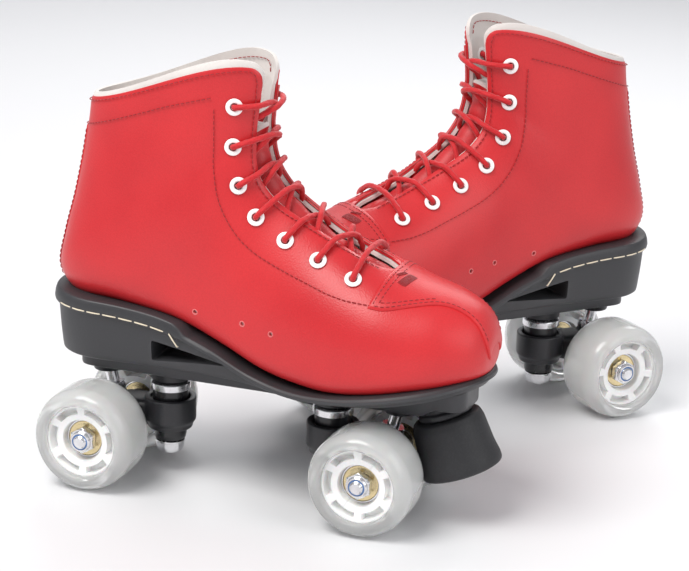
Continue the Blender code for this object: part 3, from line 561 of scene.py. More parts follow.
def ring_points(u, turns):
    """Points of the ring at u for an array of turns: 0 at the bottom or back, pi at the front."""
    bx, bz, fx, fz, medial, lateral, widest, low, high = (smooth_value(c, u) for c in zip(*STATIONS))
    c, s = np.cos(turns), np.sin(turns)
    power = np.where(c > 0, 2 / low, 2 / high)
    reach = np.abs(c) ** power
    share = np.clip(np.where(c > 0, widest * (1 - reach), widest + (1 - widest) * reach), 0, 1)
    half = np.where(s > 0, lateral, medial)
    near_top = max(0.0, 1 - (TOP - u) / 2.2)
    crown = COLLAR_PEAK * near_top ** 2 * share ** 2 * (1 - share) ** 0.6 / PEAK_SHAPE
    x = BOOT_HEEL + bx + (fx - bx) * share
    z = SEAT + bz + (fz - bz) * share + crown
    y = np.copysign(half * np.abs(s) ** power, s)
    return np.stack([x, y, z], axis=-1)


class Last:
    """The sampled surface, in millimetres."""

    def __init__(self, rows=541, columns=361):
        self.us = np.linspace(0, TOP, rows)
        self.turns = np.linspace(0, 2 * math.pi, columns)
        self.places = np.array([ring_points(u, self.turns) for u in self.us])
        along = np.gradient(self.places, axis=0)
        around = np.gradient(self.places, axis=1)
        around[:, 0] = around[:, -1] = self.places[:, 1] - self.places[:, -2]
        normals = np.cross(along, around)
        length = np.linalg.norm(normals, axis=2, keepdims=True)
        self.normals = normals / np.maximum(length, 1e-9)
        self.normals[0] = (1, 0, 0)
        steps = np.linalg.norm(np.diff(self.places, axis=1), axis=2)
        gone = np.concatenate([np.zeros((rows, 1)), np.cumsum(steps, axis=1)], axis=1)
        middle = (columns - 1) // 2
        self.arcs = gone[:, middle:middle + 1] - gone

    def turn_of(self, u, arc):
        """The turn at a signed distance from the front line: positive is the outer side."""
        row = np.clip(u / TOP * (len(self.us) - 1), 0, len(self.us) - 1.001)
        low = int(row)
        found = [np.interp(-arc, -self.arcs[k], self.turns) for k in (low, low + 1)]
        return found[0] + (found[1] - found[0]) * (row - low)

    def at(self, u, turn, lift=0.0):
        """Point at a ring and a turn, lifted along the normal."""
        row = np.clip(u / TOP * (len(self.us) - 1), 0, len(self.us) - 1.001)
        column = min(turn % (2 * math.pi) / (2 * math.pi) * (len(self.turns) - 1), len(self.turns) - 1.001)
        i, j = int(row), int(column)
        a, b = row - i, column - j
        out = []
        for table in (self.places, self.normals):
            low = table[i, j] * (1 - b) + table[i, j + 1] * b
            high = table[i + 1, j] * (1 - b) + table[i + 1, j + 1] * b
            out.append(low * (1 - a) + high * a)
        normal = out[1] / max(np.linalg.norm(out[1]), 1e-9)
        return Vector((out[0] + normal * lift) * MM), Vector(normal)

    def skin(self, u, arc, lift=0.0):
        return self.at(u, self.turn_of(u, arc), lift)


last = Last()
outward = last.skin(8, 40)[1]
if outward.y < 0:
    last.normals = -last.normals
print("last sampled:", last.places.shape, "normal at the outer side",
      [round(v, 2) for v in last.skin(8, 40)[1]])

# %% [markdown]
# ## Seam lines
# A pattern cutter draws the upper as lines on the last: the edge of the throat, the seam of
# the facing, the edge of the toe panel and the two lines round the collar.  Each is a short
# list of (ring, arc) pairs, smoothed so that no kink shows.

# %% seam lines
def smooth_line(pairs, softness=0.35):
    """A function through (u, value) pairs, with its corners averaged out."""
    us, values = zip(*pairs)
    fine = np.linspace(us[0], us[-1], 400)
    rough = np.interp(fine, us, values)
    width = max(3, int(softness / (fine[1] - fine[0])) | 1)
    padded = np.pad(rough, width // 2, mode="reflect", reflect_type="odd")
    soft = np.convolve(padded, np.ones(width) / width, mode="valid")
    return lambda u: float(np.interp(u, fine, soft))


throat_edge = smooth_line([(4.6, 9.6), (6.8, 10.0), (7.8, 11.6), (8.5, 13.6), (9.3, 15.2), (10.05, 16.0),
                           (10.9, 15.6), (12.5, 14.2), (14.5, 13.3), (18.0, 13.0)])
facing_seam = smooth_line([(4.6, 36.0), (5.3, 39.6), (5.9, 42.0), (6.5, 42.8), (7.1, 42.8), (7.7, 43.8),
                           (8.3, 45.0), (9.0, 46.4), (9.6, 47.2), (10.2, 46.6), (10.9, 45.8), (12.0, 44.4),
                           (13.8, 42.4), (18.0, 40.6)])
toe_edge = smooth_line([(0.35, 12.6), (0.64, 13.4), (1.24, 13.9), (1.9, 14.2), (2.4, 14.3), (2.85, 15.8),
                        (3.3, 19.2), (3.7, 23.7), (4.15, 29.3), (4.6, 35.1), (4.9, 38.0), (5.3, 39.4)], 0.25)
EYELET_RINGS = (5.84, 7.01, 8.22, 9.43, 10.78, 13.12, 15.93)
EYELET_ARCS = (27.7, 27.4, 28.8, 30.6, 30.4, 29.2, 28.6)
MM_PER_RING = 16.0            # height of one ring at the collar
COLLAR_CORNER = 13.0          # radius of the collar's front corners


def rim_ring(from_edge, below, corner=COLLAR_CORNER):
    """Ring number of a line below the rim that turns down at the collar's front corners."""
    near = min(max(from_edge / corner, 0), 1)
    drop = corner * (1 - math.sqrt(max(0, 1 - (1 - near) ** 2)))
    return TOP - (below + drop) / MM_PER_RING


print("eyelets at rings", EYELET_RINGS)

# %% [markdown]
# ## Shells and panels
# Leather has a thickness, and a cut edge shows it.  A panel is therefore a closed sheet: an
# upper face, a lower face and a rim between them.  The outermost rows of the upper face sit a
# little lower, which rounds the edge so that it catches the light as skived leather does.

# %% panels
def edge_spaced(low, high, count, first=0.35, second=0.9):
    """Values from low to high with two close steps at each end, in the same unit."""
    reach = high - low
    sign = 1 if reach > 0 else -1
    ends = [0, first, second]
    middle = list(np.linspace(second, abs(reach) - second, count))[1:-1]
    steps = ends + middle + [abs(reach) - e for e in reversed(ends)]
    return [low + sign * s for s in steps]


def sheet_into(bm, grid, lift, thickness, paint=0, rim_paint=0, closed_rows=0, round_edge=1.0):
    """A closed sheet over a grid of (u, turn).  The first closed_rows rows join round the last."""
    rows, columns = len(grid), len(grid[0])
    lower, upper = [], []
    for i, line in enumerate(grid):
        joined = i < closed_rows
        faces = ([], [])
        for j, (u, turn) in enumerate(line):
            if joined and j == columns - 1:
                for row in faces:
                    row.append(row[0])
                continue
            ends = (rows - 1 - i,) if joined else (j, rows - 1 - i, columns - 1 - j)
            from_edge = min(ends if closed_rows else ends + (i,))
            sink = {0: 0.55, 1: 0.16}.get(from_edge, 0.0) * min(thickness, 1.4) * round_edge
            top = lift(i, j) if callable(lift) else lift
            faces[0].append(bm.verts.new(last.at(u, turn, top - sink)[0]))
            faces[1].append(bm.verts.new(last.at(u, turn, top - thickness)[0]))
        upper.append(faces[0])
        lower.append(faces[1])
    for i in range(rows - 1):
        for j in range(columns - 1):
            k = j + 1
            bm.faces.new((upper[i][j], upper[i][k], upper[i + 1][k], upper[i + 1][j])).material_index = paint
            bm.faces.new((lower[i][j], lower[i + 1][j], lower[i + 1][k], lower[i][k])).material_index = paint
    start = max(closed_rows - 1, 0)
    rim = [(i, 0) for i in range(start, rows)] + [(rows - 1, j) for j in range(1, columns)]
    rim += [(i, columns - 1) for i in range(rows - 2, start - 1, -1)]
    if closed_rows:
        for row in (upper[0], lower[0]):
            bm.faces.new(row[:-1]).material_index = paint
        pairs = list(zip(rim, rim[1:]))
    else:
        rim += [(0, j) for j in range(columns - 2, 0, -1)]
        pairs = list(zip(rim, rim[1:] + rim[:1]))
    for (i, j), (k, m) in pairs:
        bm.faces.new((upper[i][j], upper[k][m], lower[k][m], lower[i][j])).material_index = rim_paint


THROAT_OPENS = 4.9            # ring where the two sides of the throat part


def shell_grid(first, below, columns, rows, inset_edge=0.0):
    """Grid from the toe to the collar, split at the front line, open along the throat."""
    grid = []
    for i in range(rows + 1):
        share = i / rows
        line = []
        for j in range(columns + 1):
            across = 1 - 2 * j / columns
            rim = rim_ring((1 - abs(across)) * 125, below)
            u = first + (rim - first) * share
            width = (throat_edge(u) - inset_edge) * min(1, max(0, (u - THROAT_OPENS) / 0.5)) ** 0.5
            if across >= 0:
                near = last.turn_of(u, width) if width > 0 else math.pi
                line.append((u, near * abs(across) ** 0.92))
            else:
                far = 2 * math.pi - (last.turn_of(u, -width) if width > 0 else math.pi)
                line.append((u, 2 * math.pi - far * abs(across) ** 0.92))
        grid.append(line)
    return grid


def make_shell(name, first, lift, thickness, below, materials, inset_edge=0.0, columns=150, rows=170):
    """A boot-shaped sheet that closes along the front line ahead of the throat."""
    bm = bmesh.new()
    grid = shell_grid(first, below, columns, rows, inset_edge)
    closed = sum(1 for line in grid if line[0][0] <= THROAT_OPENS)
    sheet_into(bm, grid, lift, thickness, closed_rows=closed)
    return finished(bm, name, materials)


print("panel tools ready")

# %% [markdown]
# ## The upper
# The quarters and the vamp are one red shell over the whole last, 1.8 mm thick.  Its rim stops
# below the lining's, because the lining is turned over the top.  The eyelet holes and the three
# vents on the inner side are cut with one Boolean: every cutter is in one mesh, which is much
# quicker than a modifier for each hole.

# %% upper shell
LEATHER = 1.8
RIM_BELOW = 4.0               # leather rim below the lining's rim
VENTS = ((9.71, -95.2), (8.61, -81.1), (7.84, -76.4))
HOLE_RADIUS = 2.45


def drill(mesh, holes, radius, reach):
    """Cut round holes through a mesh, square to the surface."""
    cutters = bmesh.new()
    for u, arc in holes:
        centre, way = last.skin(u, arc)
        turn = way.to_track_quat("Z", "Y").to_matrix().to_4x4()
        rings = turned_rings([(radius, -reach), (radius, reach)], 20)
        rings = [[(Matrix.Translation(centre) @ turn) @ p for p in ring] for ring in rings]
        loft_into(cutters, rings)
    bmesh.ops.recalc_face_normals(cutters, faces=cutters.faces)
    cutter_mesh = bpy.data.meshes.new("drill")
    cutters.to_mesh(cutter_mesh)
    cutters.free()
    return boolean(mesh, cutter_mesh, "DIFFERENCE")


def boolean(mesh, tool_mesh, operation):
    """One exact Boolean step on plain meshes; the helper objects are removed again."""
    scene = bpy.context.scene.collection.objects
    base = bpy.data.objects.new("work_piece", mesh)
    tool = bpy.data.objects.new("work_tool", tool_mesh)
    scene.link(base)
    scene.link(tool)
    step = base.modifiers.new("cut", "BOOLEAN")
    step.operation = operation
    step.solver = "EXACT"
    step.object = tool
    cut = bpy.data.meshes.new_from_object(base.evaluated_get(bpy.context.evaluated_depsgraph_get()))
    cut.name = mesh.name
    for thing in (base, tool):
        bpy.data.objects.remove(thing, do_unlink=True)
    cut.set_sharp_from_angle(angle=math.radians(40))
    return cut


def eyelet_seats(side_list=(1, -1)):
    return [(u, side * arc) for side in side_list for u, arc in zip(EYELET_RINGS, EYELET_ARCS)]


shell = make_shell("upper", 0.0, 0.0, LEATHER, RIM_BELOW, [red_leather])
shell = drill(shell, eyelet_seats(), HOLE_RADIUS * MM, 6 * MM)
shell = drill(shell, VENTS, 1.15 * MM, 3 * MM)
wear("upper_leather", shell, "skate", ("vamp", "outer_quarter", "inner_quarter"))
print("upper shell:", len(shell.polygons), "faces")

# %% [markdown]
# ### Facing and collar panel
# One piece of leather runs up both sides of the throat and round the collar, stitched down
# along its lower line.  It is laid as a sheet 0.6 mm proud, in three parts that share one
# thickness: a facing on each side and the band between them.

# %% facing and collar
FACING_LIFT = 0.65
FACING_START = 4.75
BAND_FOOT = 15.9              # ring where the facings pass into the collar band


def band_foot_ring(across):
    """Lower line of the collar band: level at the back, and rising a little to the facings."""
    return 16.78 - 0.30 * max(0, abs(across) - 0.55) / 0.45


def make_facings():
    bm = bmesh.new()
    for side in (1, -1):
        grid = []
        for u in edge_spaced(FACING_START, BAND_FOOT + 0.35, 70, 0.03, 0.08):
            arcs = edge_spaced(throat_edge(u) - 0.15, facing_seam(u), 16)
            turns = [last.turn_of(u, side * arc) for arc in arcs]
            grid.append([(u, turn) for turn in (turns if side > 0 else turns[::-1])])
        sheet_into(bm, grid, FACING_LIFT, FACING_LIFT + 0.5, rim_paint=1)
    columns = 150
    grid = []
    for share in (0, 0.03, 0.08) + tuple(np.linspace(0.08, 0.93, 14)[1:]) + (0.975, 1):
        line = []
        for j in range(columns + 1):
            across = 1 - 2 * j / columns
            from_edge = (1 - abs(across)) * 125
            low = band_foot_ring(across) if abs(across) < 0.745 else BAND_FOOT
            u = low + (rim_ring(from_edge, RIM_BELOW - 0.1) - low) * share
            edge = throat_edge(u) - 0.15
            near = last.turn_of(u, edge)
            far = 2 * math.pi - last.turn_of(u, -edge)
            swing = near if across > 0 else far
            turn = swing * abs(across) ** 0.92
            line.append((u, turn if across >= 0 else 2 * math.pi - turn))
        grid.append(line)
    sheet_into(bm, grid, FACING_LIFT + 0.02, FACING_LIFT + 0.5, rim_paint=1)
    return finished(bm, "facing_collar", [red_leather, edge_leather])


facings = make_facings()
facings = drill(facings, eyelet_seats(), HOLE_RADIUS * MM, 6 * MM)
wear("facing_collar", facings, "skate")
print("facings and collar:", len(facings.polygons), "faces")

# %% [markdown]
# ### Toe panel and back strip
# The toe panel lies over the ends of the facings, narrows towards the tip and goes down into
# the sole.  The back strip covers the seam where the two quarters meet, and its skived edges
# show a paler line.

# %% toe panel and back strip
TOE_LIFT = 1.25


def make_toe_panel():
    bm = bmesh.new()
    grid = []
    for share in edge_spaced(0.0, 1.0, 60, 0.006, 0.016):
        line = []
        for across in edge_spaced(-1.0, 1.0, 40, 0.02, 0.05):
            rear = 4.98 + 0.26 * abs(across) ** 1.5
            u = 0.30 + (rear - 0.30) * share
            line.append((u, last.turn_of(u, across * toe_edge(u))))
        grid.append(line[::-1])

    def lift(i, j):
        return TOE_LIFT if i > 6 else TOE_LIFT - 0.5 * (1 - i / 6)

    sheet_into(bm, grid, lift, TOE_LIFT + 0.6)
    return finished(bm, "toe_panel", [red_leather])


def make_back_strip():
    bm = bmesh.new()
    grid = []
    for u in edge_spaced(12.6, 16.85, 50, 0.03, 0.08):
        half = 7.4 + 1.6 * (16.85 - u) / 4.25
        span = np.linalg.norm(last.at(u, 0.35)[0] - last.at(u, 0.0)[0]) / MM
        line = [(u, 0.35 * across / span) for across in edge_spaced(-half, half, 12)]
        grid.append(line)
    sheet_into(bm, grid, 0.75, 1.2, rim_paint=1)
    return finished(bm, "back_strip", [red_leather, edge_leather])


wear("toe_panel", make_toe_panel(), "skate")
wear("back_strip", make_back_strip(), "skate")
print("toe panel and back strip on both boots")

# %% [markdown]
# ### Lining
# The lining is a second shell inside the first.  It comes up past the leather all round the
# collar and peeps out along the throat, and its rim is rounded like a rolled hem.

# %% lining and insole
LINING_DEPTH = 1.85           # leather's outer face to the lining's outer face


def make_lining():
    def lift(i, j):
        from_rim = 170 - i
        return -LINING_DEPTH + (0.9 if from_rim < 5 else 0.9 * max(0, 1 - (from_rim - 5) / 6))

    bm = bmesh.new()
    grid = shell_grid(1.3, 0.0, 130, 170, 1.1)
    closed = sum(1 for line in grid if line[0][0] <= THROAT_OPENS)
    sheet_into(bm, grid, lift, WALL - LINING_DEPTH + 0.4, closed_rows=closed)
    return finished(bm, "lining", [lining_cloth])


def make_insole():
    """A padded footbed, cupped at the heel, lying on the floor of the lining."""
    bm = bmesh.new()
    grid = []
    for u in edge_spaced(2.6, 12.4, 60, 0.06, 0.16):
        reach = 0.98 if u < 11.5 else 0.98 - 0.25 * (u - 11.5)
        grid.append([(u, across * reach) for across in edge_spaced(-1.0, 1.0, 24, 0.03, 0.09)])
    sheet_into(bm, grid, -WALL - 0.6, 2.2)
    return finished(bm, "insole", [lining_cloth])


wear("lining", make_lining(), "skate")
insole = wear("insole", make_insole(), "skate")
print("lining and insole in both boots")

# %% [markdown]
# ### Tongue
# The tongue is a padded strip under the facings: red leather outside, and a cream edge where
# the padded lining is turned over it.  It is crowned across, so that it swells a little between
# the laces, and it ends low because the boot is worn loose at the top.

# %% tongue
TONGUE_DEPTH = WALL + 5.2
TONGUE_THICK = 3.8
TONGUE_FOOT = 4.7
TONGUE_TIP = 12.9


def make_tongue():
    bm = bmesh.new()
    rings = []
    for u in edge_spaced(TONGUE_FOOT, TONGUE_TIP, 110, 0.02, 0.07):
        from_tip = min(1.0, (TONGUE_TIP - u) / 0.9)
        half = 25.5 * math.sqrt(1 - (1 - from_tip) ** 2 * 0.72)
        ring = []
        upper = [half * (1 - 2 * k / 36) for k in range(37)]
        for k, arc in enumerate(upper):
            share = abs(arc) / half
            bulge = max(0, 1 - (arc / (throat_edge(u) + 2.5)) ** 2)
            crown = 0.6 * (1 - share ** 2) + (4.6 + 0.35 * math.sin(u * 6.1)) * bulge ** 1.2
            rolled = 1.5 * max(0, (share - 0.84) / 0.16) ** 2
            end = 0.8 * max(0, 1 - (u - TONGUE_FOOT) / 0.12) + 1.1 * max(0, 1 - (TONGUE_TIP - u) / 0.1) ** 2
            turn = last.turn_of(u, arc)
            ring.append(last.at(u, turn, -TONGUE_DEPTH + crown - rolled - end)[0])
        for arc in upper[::-1]:
            share = abs(arc) / half
            turn = last.turn_of(u, arc)
            belly = -TONGUE_DEPTH - TONGUE_THICK + 2.5 * max(0, 1 - (arc / 14) ** 2)
            belly += 1.4 * max(0, (share - 0.84) / 0.16) ** 2
            ring.append(last.at(u, turn, belly)[0])
        rings.append(ring)
    loft_into(bm, rings)
    mesh = finished(bm, "tongue", [tongue_leather, lining_cloth], 60)
    count = 74
    for face in mesh.polygons:
        ks = [v % count for v in face.vertices]
        around = sum(ks) / len(ks)
        rows = [v // count for v in face.vertices]
        at_edge = around < 3.5 or around > 32.5 or max(ks) - min(ks) > 40
        at_tip = sum(rows) / len(rows) > len(rings) - 6
        face.material_index = 1 if at_edge or at_tip else 0
    return mesh


tongue = wear("tongue_pad", make_tongue(), "skate", ("tongue",))
print("tongues:", [len(tongue[foot].data.polygons) for foot in FEET])

# %% [markdown]
# ### Eyelets
# An eyelet is a tube pressed through the leather and rolled over: a white ring outside and a
# small washer inside.  Its section is turned round the hole's own axis.

# %% eyelets
def ring_at(bm, u, arc, profile, lift, count=28, paint=0):
    centre, way = last.skin(u, arc, lift)
    place = Matrix.Translation(centre) @ way.to_track_quat("Z", "Y").to_matrix().to_4x4()
    rings = turned_rings([(r * MM, h * MM) for r, h in profile], count)
    loft_into(bm, [[place @ p for p in ring] for ring in rings], paint, closed=True)


def make_eyelets():
    bm = bmesh.new()
    outside = rounded_profile([(2.15, -4.6, 0), (2.15, 0.75, 0.5), (3.1, 1.0, 0.5), (4.55, 0.55, 0.45),
                               (4.6, 0.0, 0.1), (2.5, 0.0, 0.1), (2.4, -4.6, 0)], 4)
    inside = [(2.3, -4.3), (4.0, -4.3), (4.0, -4.75), (3.2, -5.0), (2.3, -4.9)]
    for u, arc in eyelet_seats():
        ring_at(bm, u, arc, outside, FACING_LIFT)
        ring_at(bm, u, arc, inside, 0.0, 20)
    return finished(bm, "eyelets", [eyelet_enamel], 50)


def make_vent_rings():
    bm = bmesh.new()
    for u, arc in VENTS:
        ring_at(bm, u, arc, [(1.12, -1.2), (1.12, 0.1), (1.35, 0.2), (1.65, 0.12), (1.75, -0.2)], 0.0, 24)
    return finished(bm, "vent_rings", [edge_leather], 50)


wear("eyelets", make_eyelets(), "skate")
wear("vent_rings", make_vent_rings(), "skate")
print("eyelets:", len(eyelet_seats()), "on each boot")

# %% [markdown]
# ### Lace
# The lace is one cord, tied off inside at the top.  From each hole it comes out over the
# facing, crosses the tongue, dives under the other facing and comes up through that facing's
# next hole.  Its route is a list of surface places joined by a smooth curve, and the braid is
# modelled: sixteen strands in two directions raise small diamonds all along the tube.

# %% laces
LACE_RADIUS = 1.6
LACE_UNDER = WALL + 2.6


def lace_strand(first_side):
    """Half the lace, from its tucked end at the top down to the lowest holes."""
    over = LACE_RADIUS + 0.85
    high = first_side > 0
    seats = list(zip(EYELET_RINGS, EYELET_ARCS))[::-1]
    side = first_side
    start = seats[0]
    route = [(start[0] - 0.9, side * (start[1] + 9), -LACE_UNDER - 0.9),
             (start[0] - 0.35, side * (start[1] + 5), -LACE_UNDER)]
    for number, (u, arc) in enumerate(seats):
        hole = side * arc
        route += [(u, hole, -LACE_UNDER + 0.4), (u, hole, -WALL / 2), (u, hole - side * 0.3, over - 0.3)]
        if number == len(seats) - 1:
            break
        down, edge = seats[number + 1][0], throat_edge(u)
        steps = down - u
        route.append((u + steps * 0.07, side * (arc * 0.82), over))
        route.append((u + steps * 0.19, side * (edge + 2.4), over + (0.5 if high else 0.1)))
        route.append((u + steps * 0.36, side * edge * 0.40, 1.9 if high else -0.9))
        route.append((u + steps * 0.52, -side * edge * 0.30, 1.6 if high else -1.3))
        route.append((u + steps * 0.67, -side * (edge - 2.6), -2.2 if high else -3.4))
        route.append((u + steps * 0.80, -side * (edge + 3.0), -LACE_UNDER))
        side = -side
    return route


def smooth_curve(points, step):
    """Catmull-Rom through points, then resampled at even steps of length."""
    fine = []
    last_index = len(points) - 1
    for i in range(last_index):
        a, b, c, d = (points[min(max(k, 0), last_index)] for k in (i - 1, i, i + 1, i + 2))
        for s in range(24):
            t = s / 24
            fine.append(0.5 * (2 * b + (c - a) * t + (2 * a - 5 * b + 4 * c - d) * t * t
                               + (3 * b - a - 3 * c + d) * t ** 3))
    fine.append(points[-1])
    return even_steps(fine, step)


def even_steps(points, step):
    gone = np.concatenate([[0], np.cumsum([(b - a).length for a, b in zip(points, points[1:])])])
    count = max(2, int(round(gone[-1] / step)))
    wanted = np.linspace(0, gone[-1], count + 1)
    table = np.array([tuple(p) for p in points])
    return [Vector([np.interp(w, gone, table[:, k]) for k in range(3)]) for w in wanted]


def lace_path(step):
    lowest = EYELET_RINGS[0]
    arc = EYELET_ARCS[0]
    bar = [(lowest - 0.02, share * arc, LACE_RADIUS + 0.9 + 1.2 * (1 - abs(share)))
           for share in (0.72, 0.3, -0.3, -0.72)]
    places = lace_strand(1) + bar + lace_strand(-1)[::-1]
    return smooth_curve([last.skin(*place)[0] for place in places], step)


def braid_height(step, count):
    """Radius factor of a braid: two sets of strands that wind opposite ways and cross."""
    turns_per_metre = 2 * math.pi / 0.0085
    strands = 4

    def factor(i, angle):
        twist = i * step * turns_per_metre
        first = math.cos(strands * angle + twist)
        second = math.cos(strands * angle - twist)
        return 0.89 + 0.135 * max(first, second)

    return factor


def make_laces():
    step = 0.00062
    bm = bmesh.new()
    path = lace_path(step)
    tube_into(bm, path, LACE_RADIUS * MM, 16, braid=braid_height(step, len(path)))
    print("lace length:", round((len(path) - 1) * step, 3), "m")
    return finished(bm, "laces", [red_lace], 180)


wear("lace_cord", make_laces(), "skate", ("laces",))

# %% [markdown]
# ### Stitching
# A lockstitch shows as short separate bars, each sinking into the leather at both ends.  One
# function walks along a seam at the stitch length and lays a small bent bar each time, so the
# stitches are real thread that catches the light and not a dotted line.

# %% stitching
def seam_points(places, samples=6):
    """Fine points and normals along (u, arc, lift) places."""
    fine = []
    for (u0, a0, l0), (u1, a1, l1) in zip(places, places[1:]):
        for s in range(samples):
            t = s / samples
            fine.append((u0 + (u1 - u0) * t, a0 + (a1 - a0) * t, l0 + (l1 - l0) * t))
    fine.append(places[-1])
    found = [last.skin(*place) for place in fine]
    return [p for p, _ in found], [n for _, n in found]


def stitch_into(bm, points, normals, pitch=2.9, gap=0.75, radius=0.26, paint=0):
    gone = np.concatenate([[0], np.cumsum([(b - a).length for a, b in zip(points, points[1:])])]) / MM
    count = max(1, int(round(gone[-1] / pitch)))
    pitch = gone[-1] / count
    table = np.array([tuple(p) + tuple(n) for p, n in zip(points, normals)])

    def at(distance):
        row = [np.interp(distance, gone, table[:, k]) for k in range(6)]
        return Vector(row[:3]), Vector(row[3:]).normalized()

    for k in range(count):
        start = pitch * k + gap / 2
        length = pitch - gap
        bar, sizes = [], []
        for share, rise, width in ((0, -0.9, 0.6), (0.12, 0.1, 1), (0.5, 0.55, 1.05), (0.88, 0.1, 1),
                                   (1, -0.9, 0.6)):
            centre, way = at(start + length * share)
            bar.append(centre + way * (rise * radius * MM))
            sizes.append(radius * width * MM)
        tube_into(bm, bar, sizes, 6, paint, tips=False)
    return count


def rim_seam(below, lift, side_start=1.0, shares=90):
    """A line that follows the rim all round, from one throat edge to the other."""
    places = []
    for k in range(shares + 1):
        across = side_start * (1 - 2 * k / shares)
        from_edge = (1 - abs(across)) * 125
        u = rim_ring(from_edge, below, COLLAR_CORNER - 3.6)
        edge = throat_edge(u) + 3.6
        near, far = last.turn_of(u, edge), 2 * math.pi - last.turn_of(u, -edge)
        turn = (near if across > 0 else far) * abs(across) ** 0.92
        places.append((u, turn if across >= 0 else 2 * math.pi - turn, lift))
    found = [last.at(*place) for place in places]
    return [p for p, _ in found], [n for _, n in found]


def make_stitching():
    bm = bmesh.new()
    total = 0
    for side in (1, -1):
        rings = np.linspace(5.35, rim_ring(0, RIM_BELOW + 2.2, COLLAR_CORNER - 3.6), 60)
        edge_line = [(u, side * (throat_edge(u) + 3.6), FACING_LIFT) for u in rings]
        seam_line = [(u, side * (facing_seam(u) - 1.6), FACING_LIFT) for u in np.linspace(4.95, 16.2, 60)]
        toe_line = [(u, side * (toe_edge(u) - 1.7), TOE_LIFT) for u in np.linspace(1.0, 5.08, 40)]
        rear = [(4.86 + 0.26 * s ** 1.5, side * s * (toe_edge(5.1) - 2.0), TOE_LIFT)
                for s in np.linspace(0.03, 1, 16)]
        rear_two = [(u - 0.16, arc * 0.94, lift) for u, arc, lift in rear]
        toe_two = [(u, side * (toe_edge(u) - 4.1), TOE_LIFT) for u in np.linspace(3.4, 4.95, 20)]
        for line in (edge_line, seam_line, toe_line, rear, rear_two, toe_two):
            total += stitch_into(bm, *seam_points(line))
    strip = [[(u, turn, 0.75) for u in np.linspace(12.7, 16.7, 30)] for turn in (0.24, -0.24)]
    for line in strip:
        found = [last.at(*place) for place in line]
        total += stitch_into(bm, [p for p, _ in found], [n for _, n in found])
    total += stitch_into(bm, *rim_seam(RIM_BELOW + 2.2, FACING_LIFT))
    foot_line = []
    for k in range(91):
        across = 0.73 * (1 - 2 * k / 90)
        u = band_foot_ring(across) + 0.09
        edge = throat_edge(u)
        near, far = last.turn_of(u, edge), 2 * math.pi - last.turn_of(u, -edge)
        turn = (near if across > 0 else far) * abs(across) ** 0.92
        foot_line.append(last.at(u, turn if across >= 0 else 2 * math.pi - turn, FACING_LIFT))
    total += stitch_into(bm, [p for p, _ in foot_line], [n for _, n in foot_line])
    inside = rim_seam(5.0, -WALL - 0.35)
    total += stitch_into(bm, inside[0], [-n for n in inside[1]])
    print("stitches on each boot:", total)
    return finished(bm, "stitching", [red_thread], 60)


wear("stitching", make_stitching(), "skate")

# %% [markdown]
# ### Bar tack
# Where the tongue ends, a short dense bar of stitches holds the layers together.  It is a low
# pad of thread with close ridges across it.

# %% bar tack
def make_bar_tack():
    bm = bmesh.new()
    for ring, first, final, width in ((4.47, -18.2, -5.2, 3.4), (4.72, -12.5, -6.0, 1.4)):
        count = int(width / 0.36)
        for k in range(count):
            across = 2 * (k + 0.5) / count - 1
            half = (final - first) / 2 * (0.86 + 0.14 * math.sqrt(1 - across ** 2))
            line = []
            for s in np.linspace(-1, 1, 15):
                arc = (first + final) / 2 + half * s
                rise = 0.42 * math.sqrt(1 - across ** 2) * (1 - abs(s) ** 8) - 0.25 * abs(s) ** 8
                line.append((ring + across * width / 23 - 0.09 * s, arc, TOE_LIFT + rise))
            places, _ = seam_points(line, 1)
            tube_into(bm, places, 0.25 * MM, 6, tips=False)
    return finished(bm, "bar_tack", [red_thread], 60)


wear("bar_tack", make_bar_tack(), "skate")
print("bar tacks sewn")

# %% [markdown]
# ## The sole
# The sole is one moulding: a heel block, an arch and a forefoot, with a tall welt round the
# heel that ends in a rounded step.  It is a stack of outlines.  Each outline is drawn a little
# further in or out than the one below, which gives the tapered sides, the groove under the
# welt and the rounded rim.  The boot's own shape is then cut out of it, so that the two nest.

# %% outsole
SOLE_HEEL, SOLE_LENGTH, SOLE_NOTCH = -114.0, 251.5, -30.5
MEDIAL = (35.0, 34.5, 33.0, 33.5, 36.0, 42.0, 45.2, 45.5, 45.0)
LATERAL = (35.0, 34.5, 34.5, 37.0, 42.0, 46.0, 46.5, 44.5, 42.5)
SEAT_LINE = (0.6, 0.2, -0.6, -3.6, -11.5, -22.5, -28.6, -29.0, -25.5, -21.0, -16.5)
RAND_LINE = (0.0, 0.0, -1.2, -2.0, -1.6, 0.4, 1.7, 2.2, 2.2)
BASE_LINE = (0.0, 0.0, 0.0, 0.0, 0.0, -0.9, -3.2, -2.6, -0.2, 3.8, 8.2)


def along_sole(values, x):
    share = min(max((x - SOLE_HEEL) / SOLE_LENGTH, 0), 1)
    return smooth_value(values, share * (len(values) - 1))


def sole_half(x, side):
    into_heel = max(0.0, (SOLE_HEEL + 36 - x) / 36)
    into_toe = max(0.0, (x - SOLE_HEEL - SOLE_LENGTH + 62) / 62)
    ends = max(0, 1 - into_heel ** 2.4) ** 0.5 * max(0, 1 - into_toe ** 2.2) ** 0.5
    return along_sole(LATERAL if side > 0 else MEDIAL, x) * ends


def welt_share(x):
    """1 along the raised heel welt and 0 ahead of its step, with a rounded end."""
    t = min(max((SOLE_NOTCH + 1.2 - x) / 4.6, 0), 1)
    return math.sqrt(1 - (1 - t) ** 2)


def sole_edge(x):
    """Top of the sole's side: the rand round the foot, and the welt that rises above it."""
    rand = along_sole(RAND_LINE, x)
    welt = 5.0 - 3.2 * (x - SOLE_HEEL) / 84
    return SEAT + along_sole(SEAT_LINE, x) + rand + (welt - rand) * welt_share(x)


def sole_base(x):
    return DECK + 0.35 + along_sole(BASE_LINE, x)


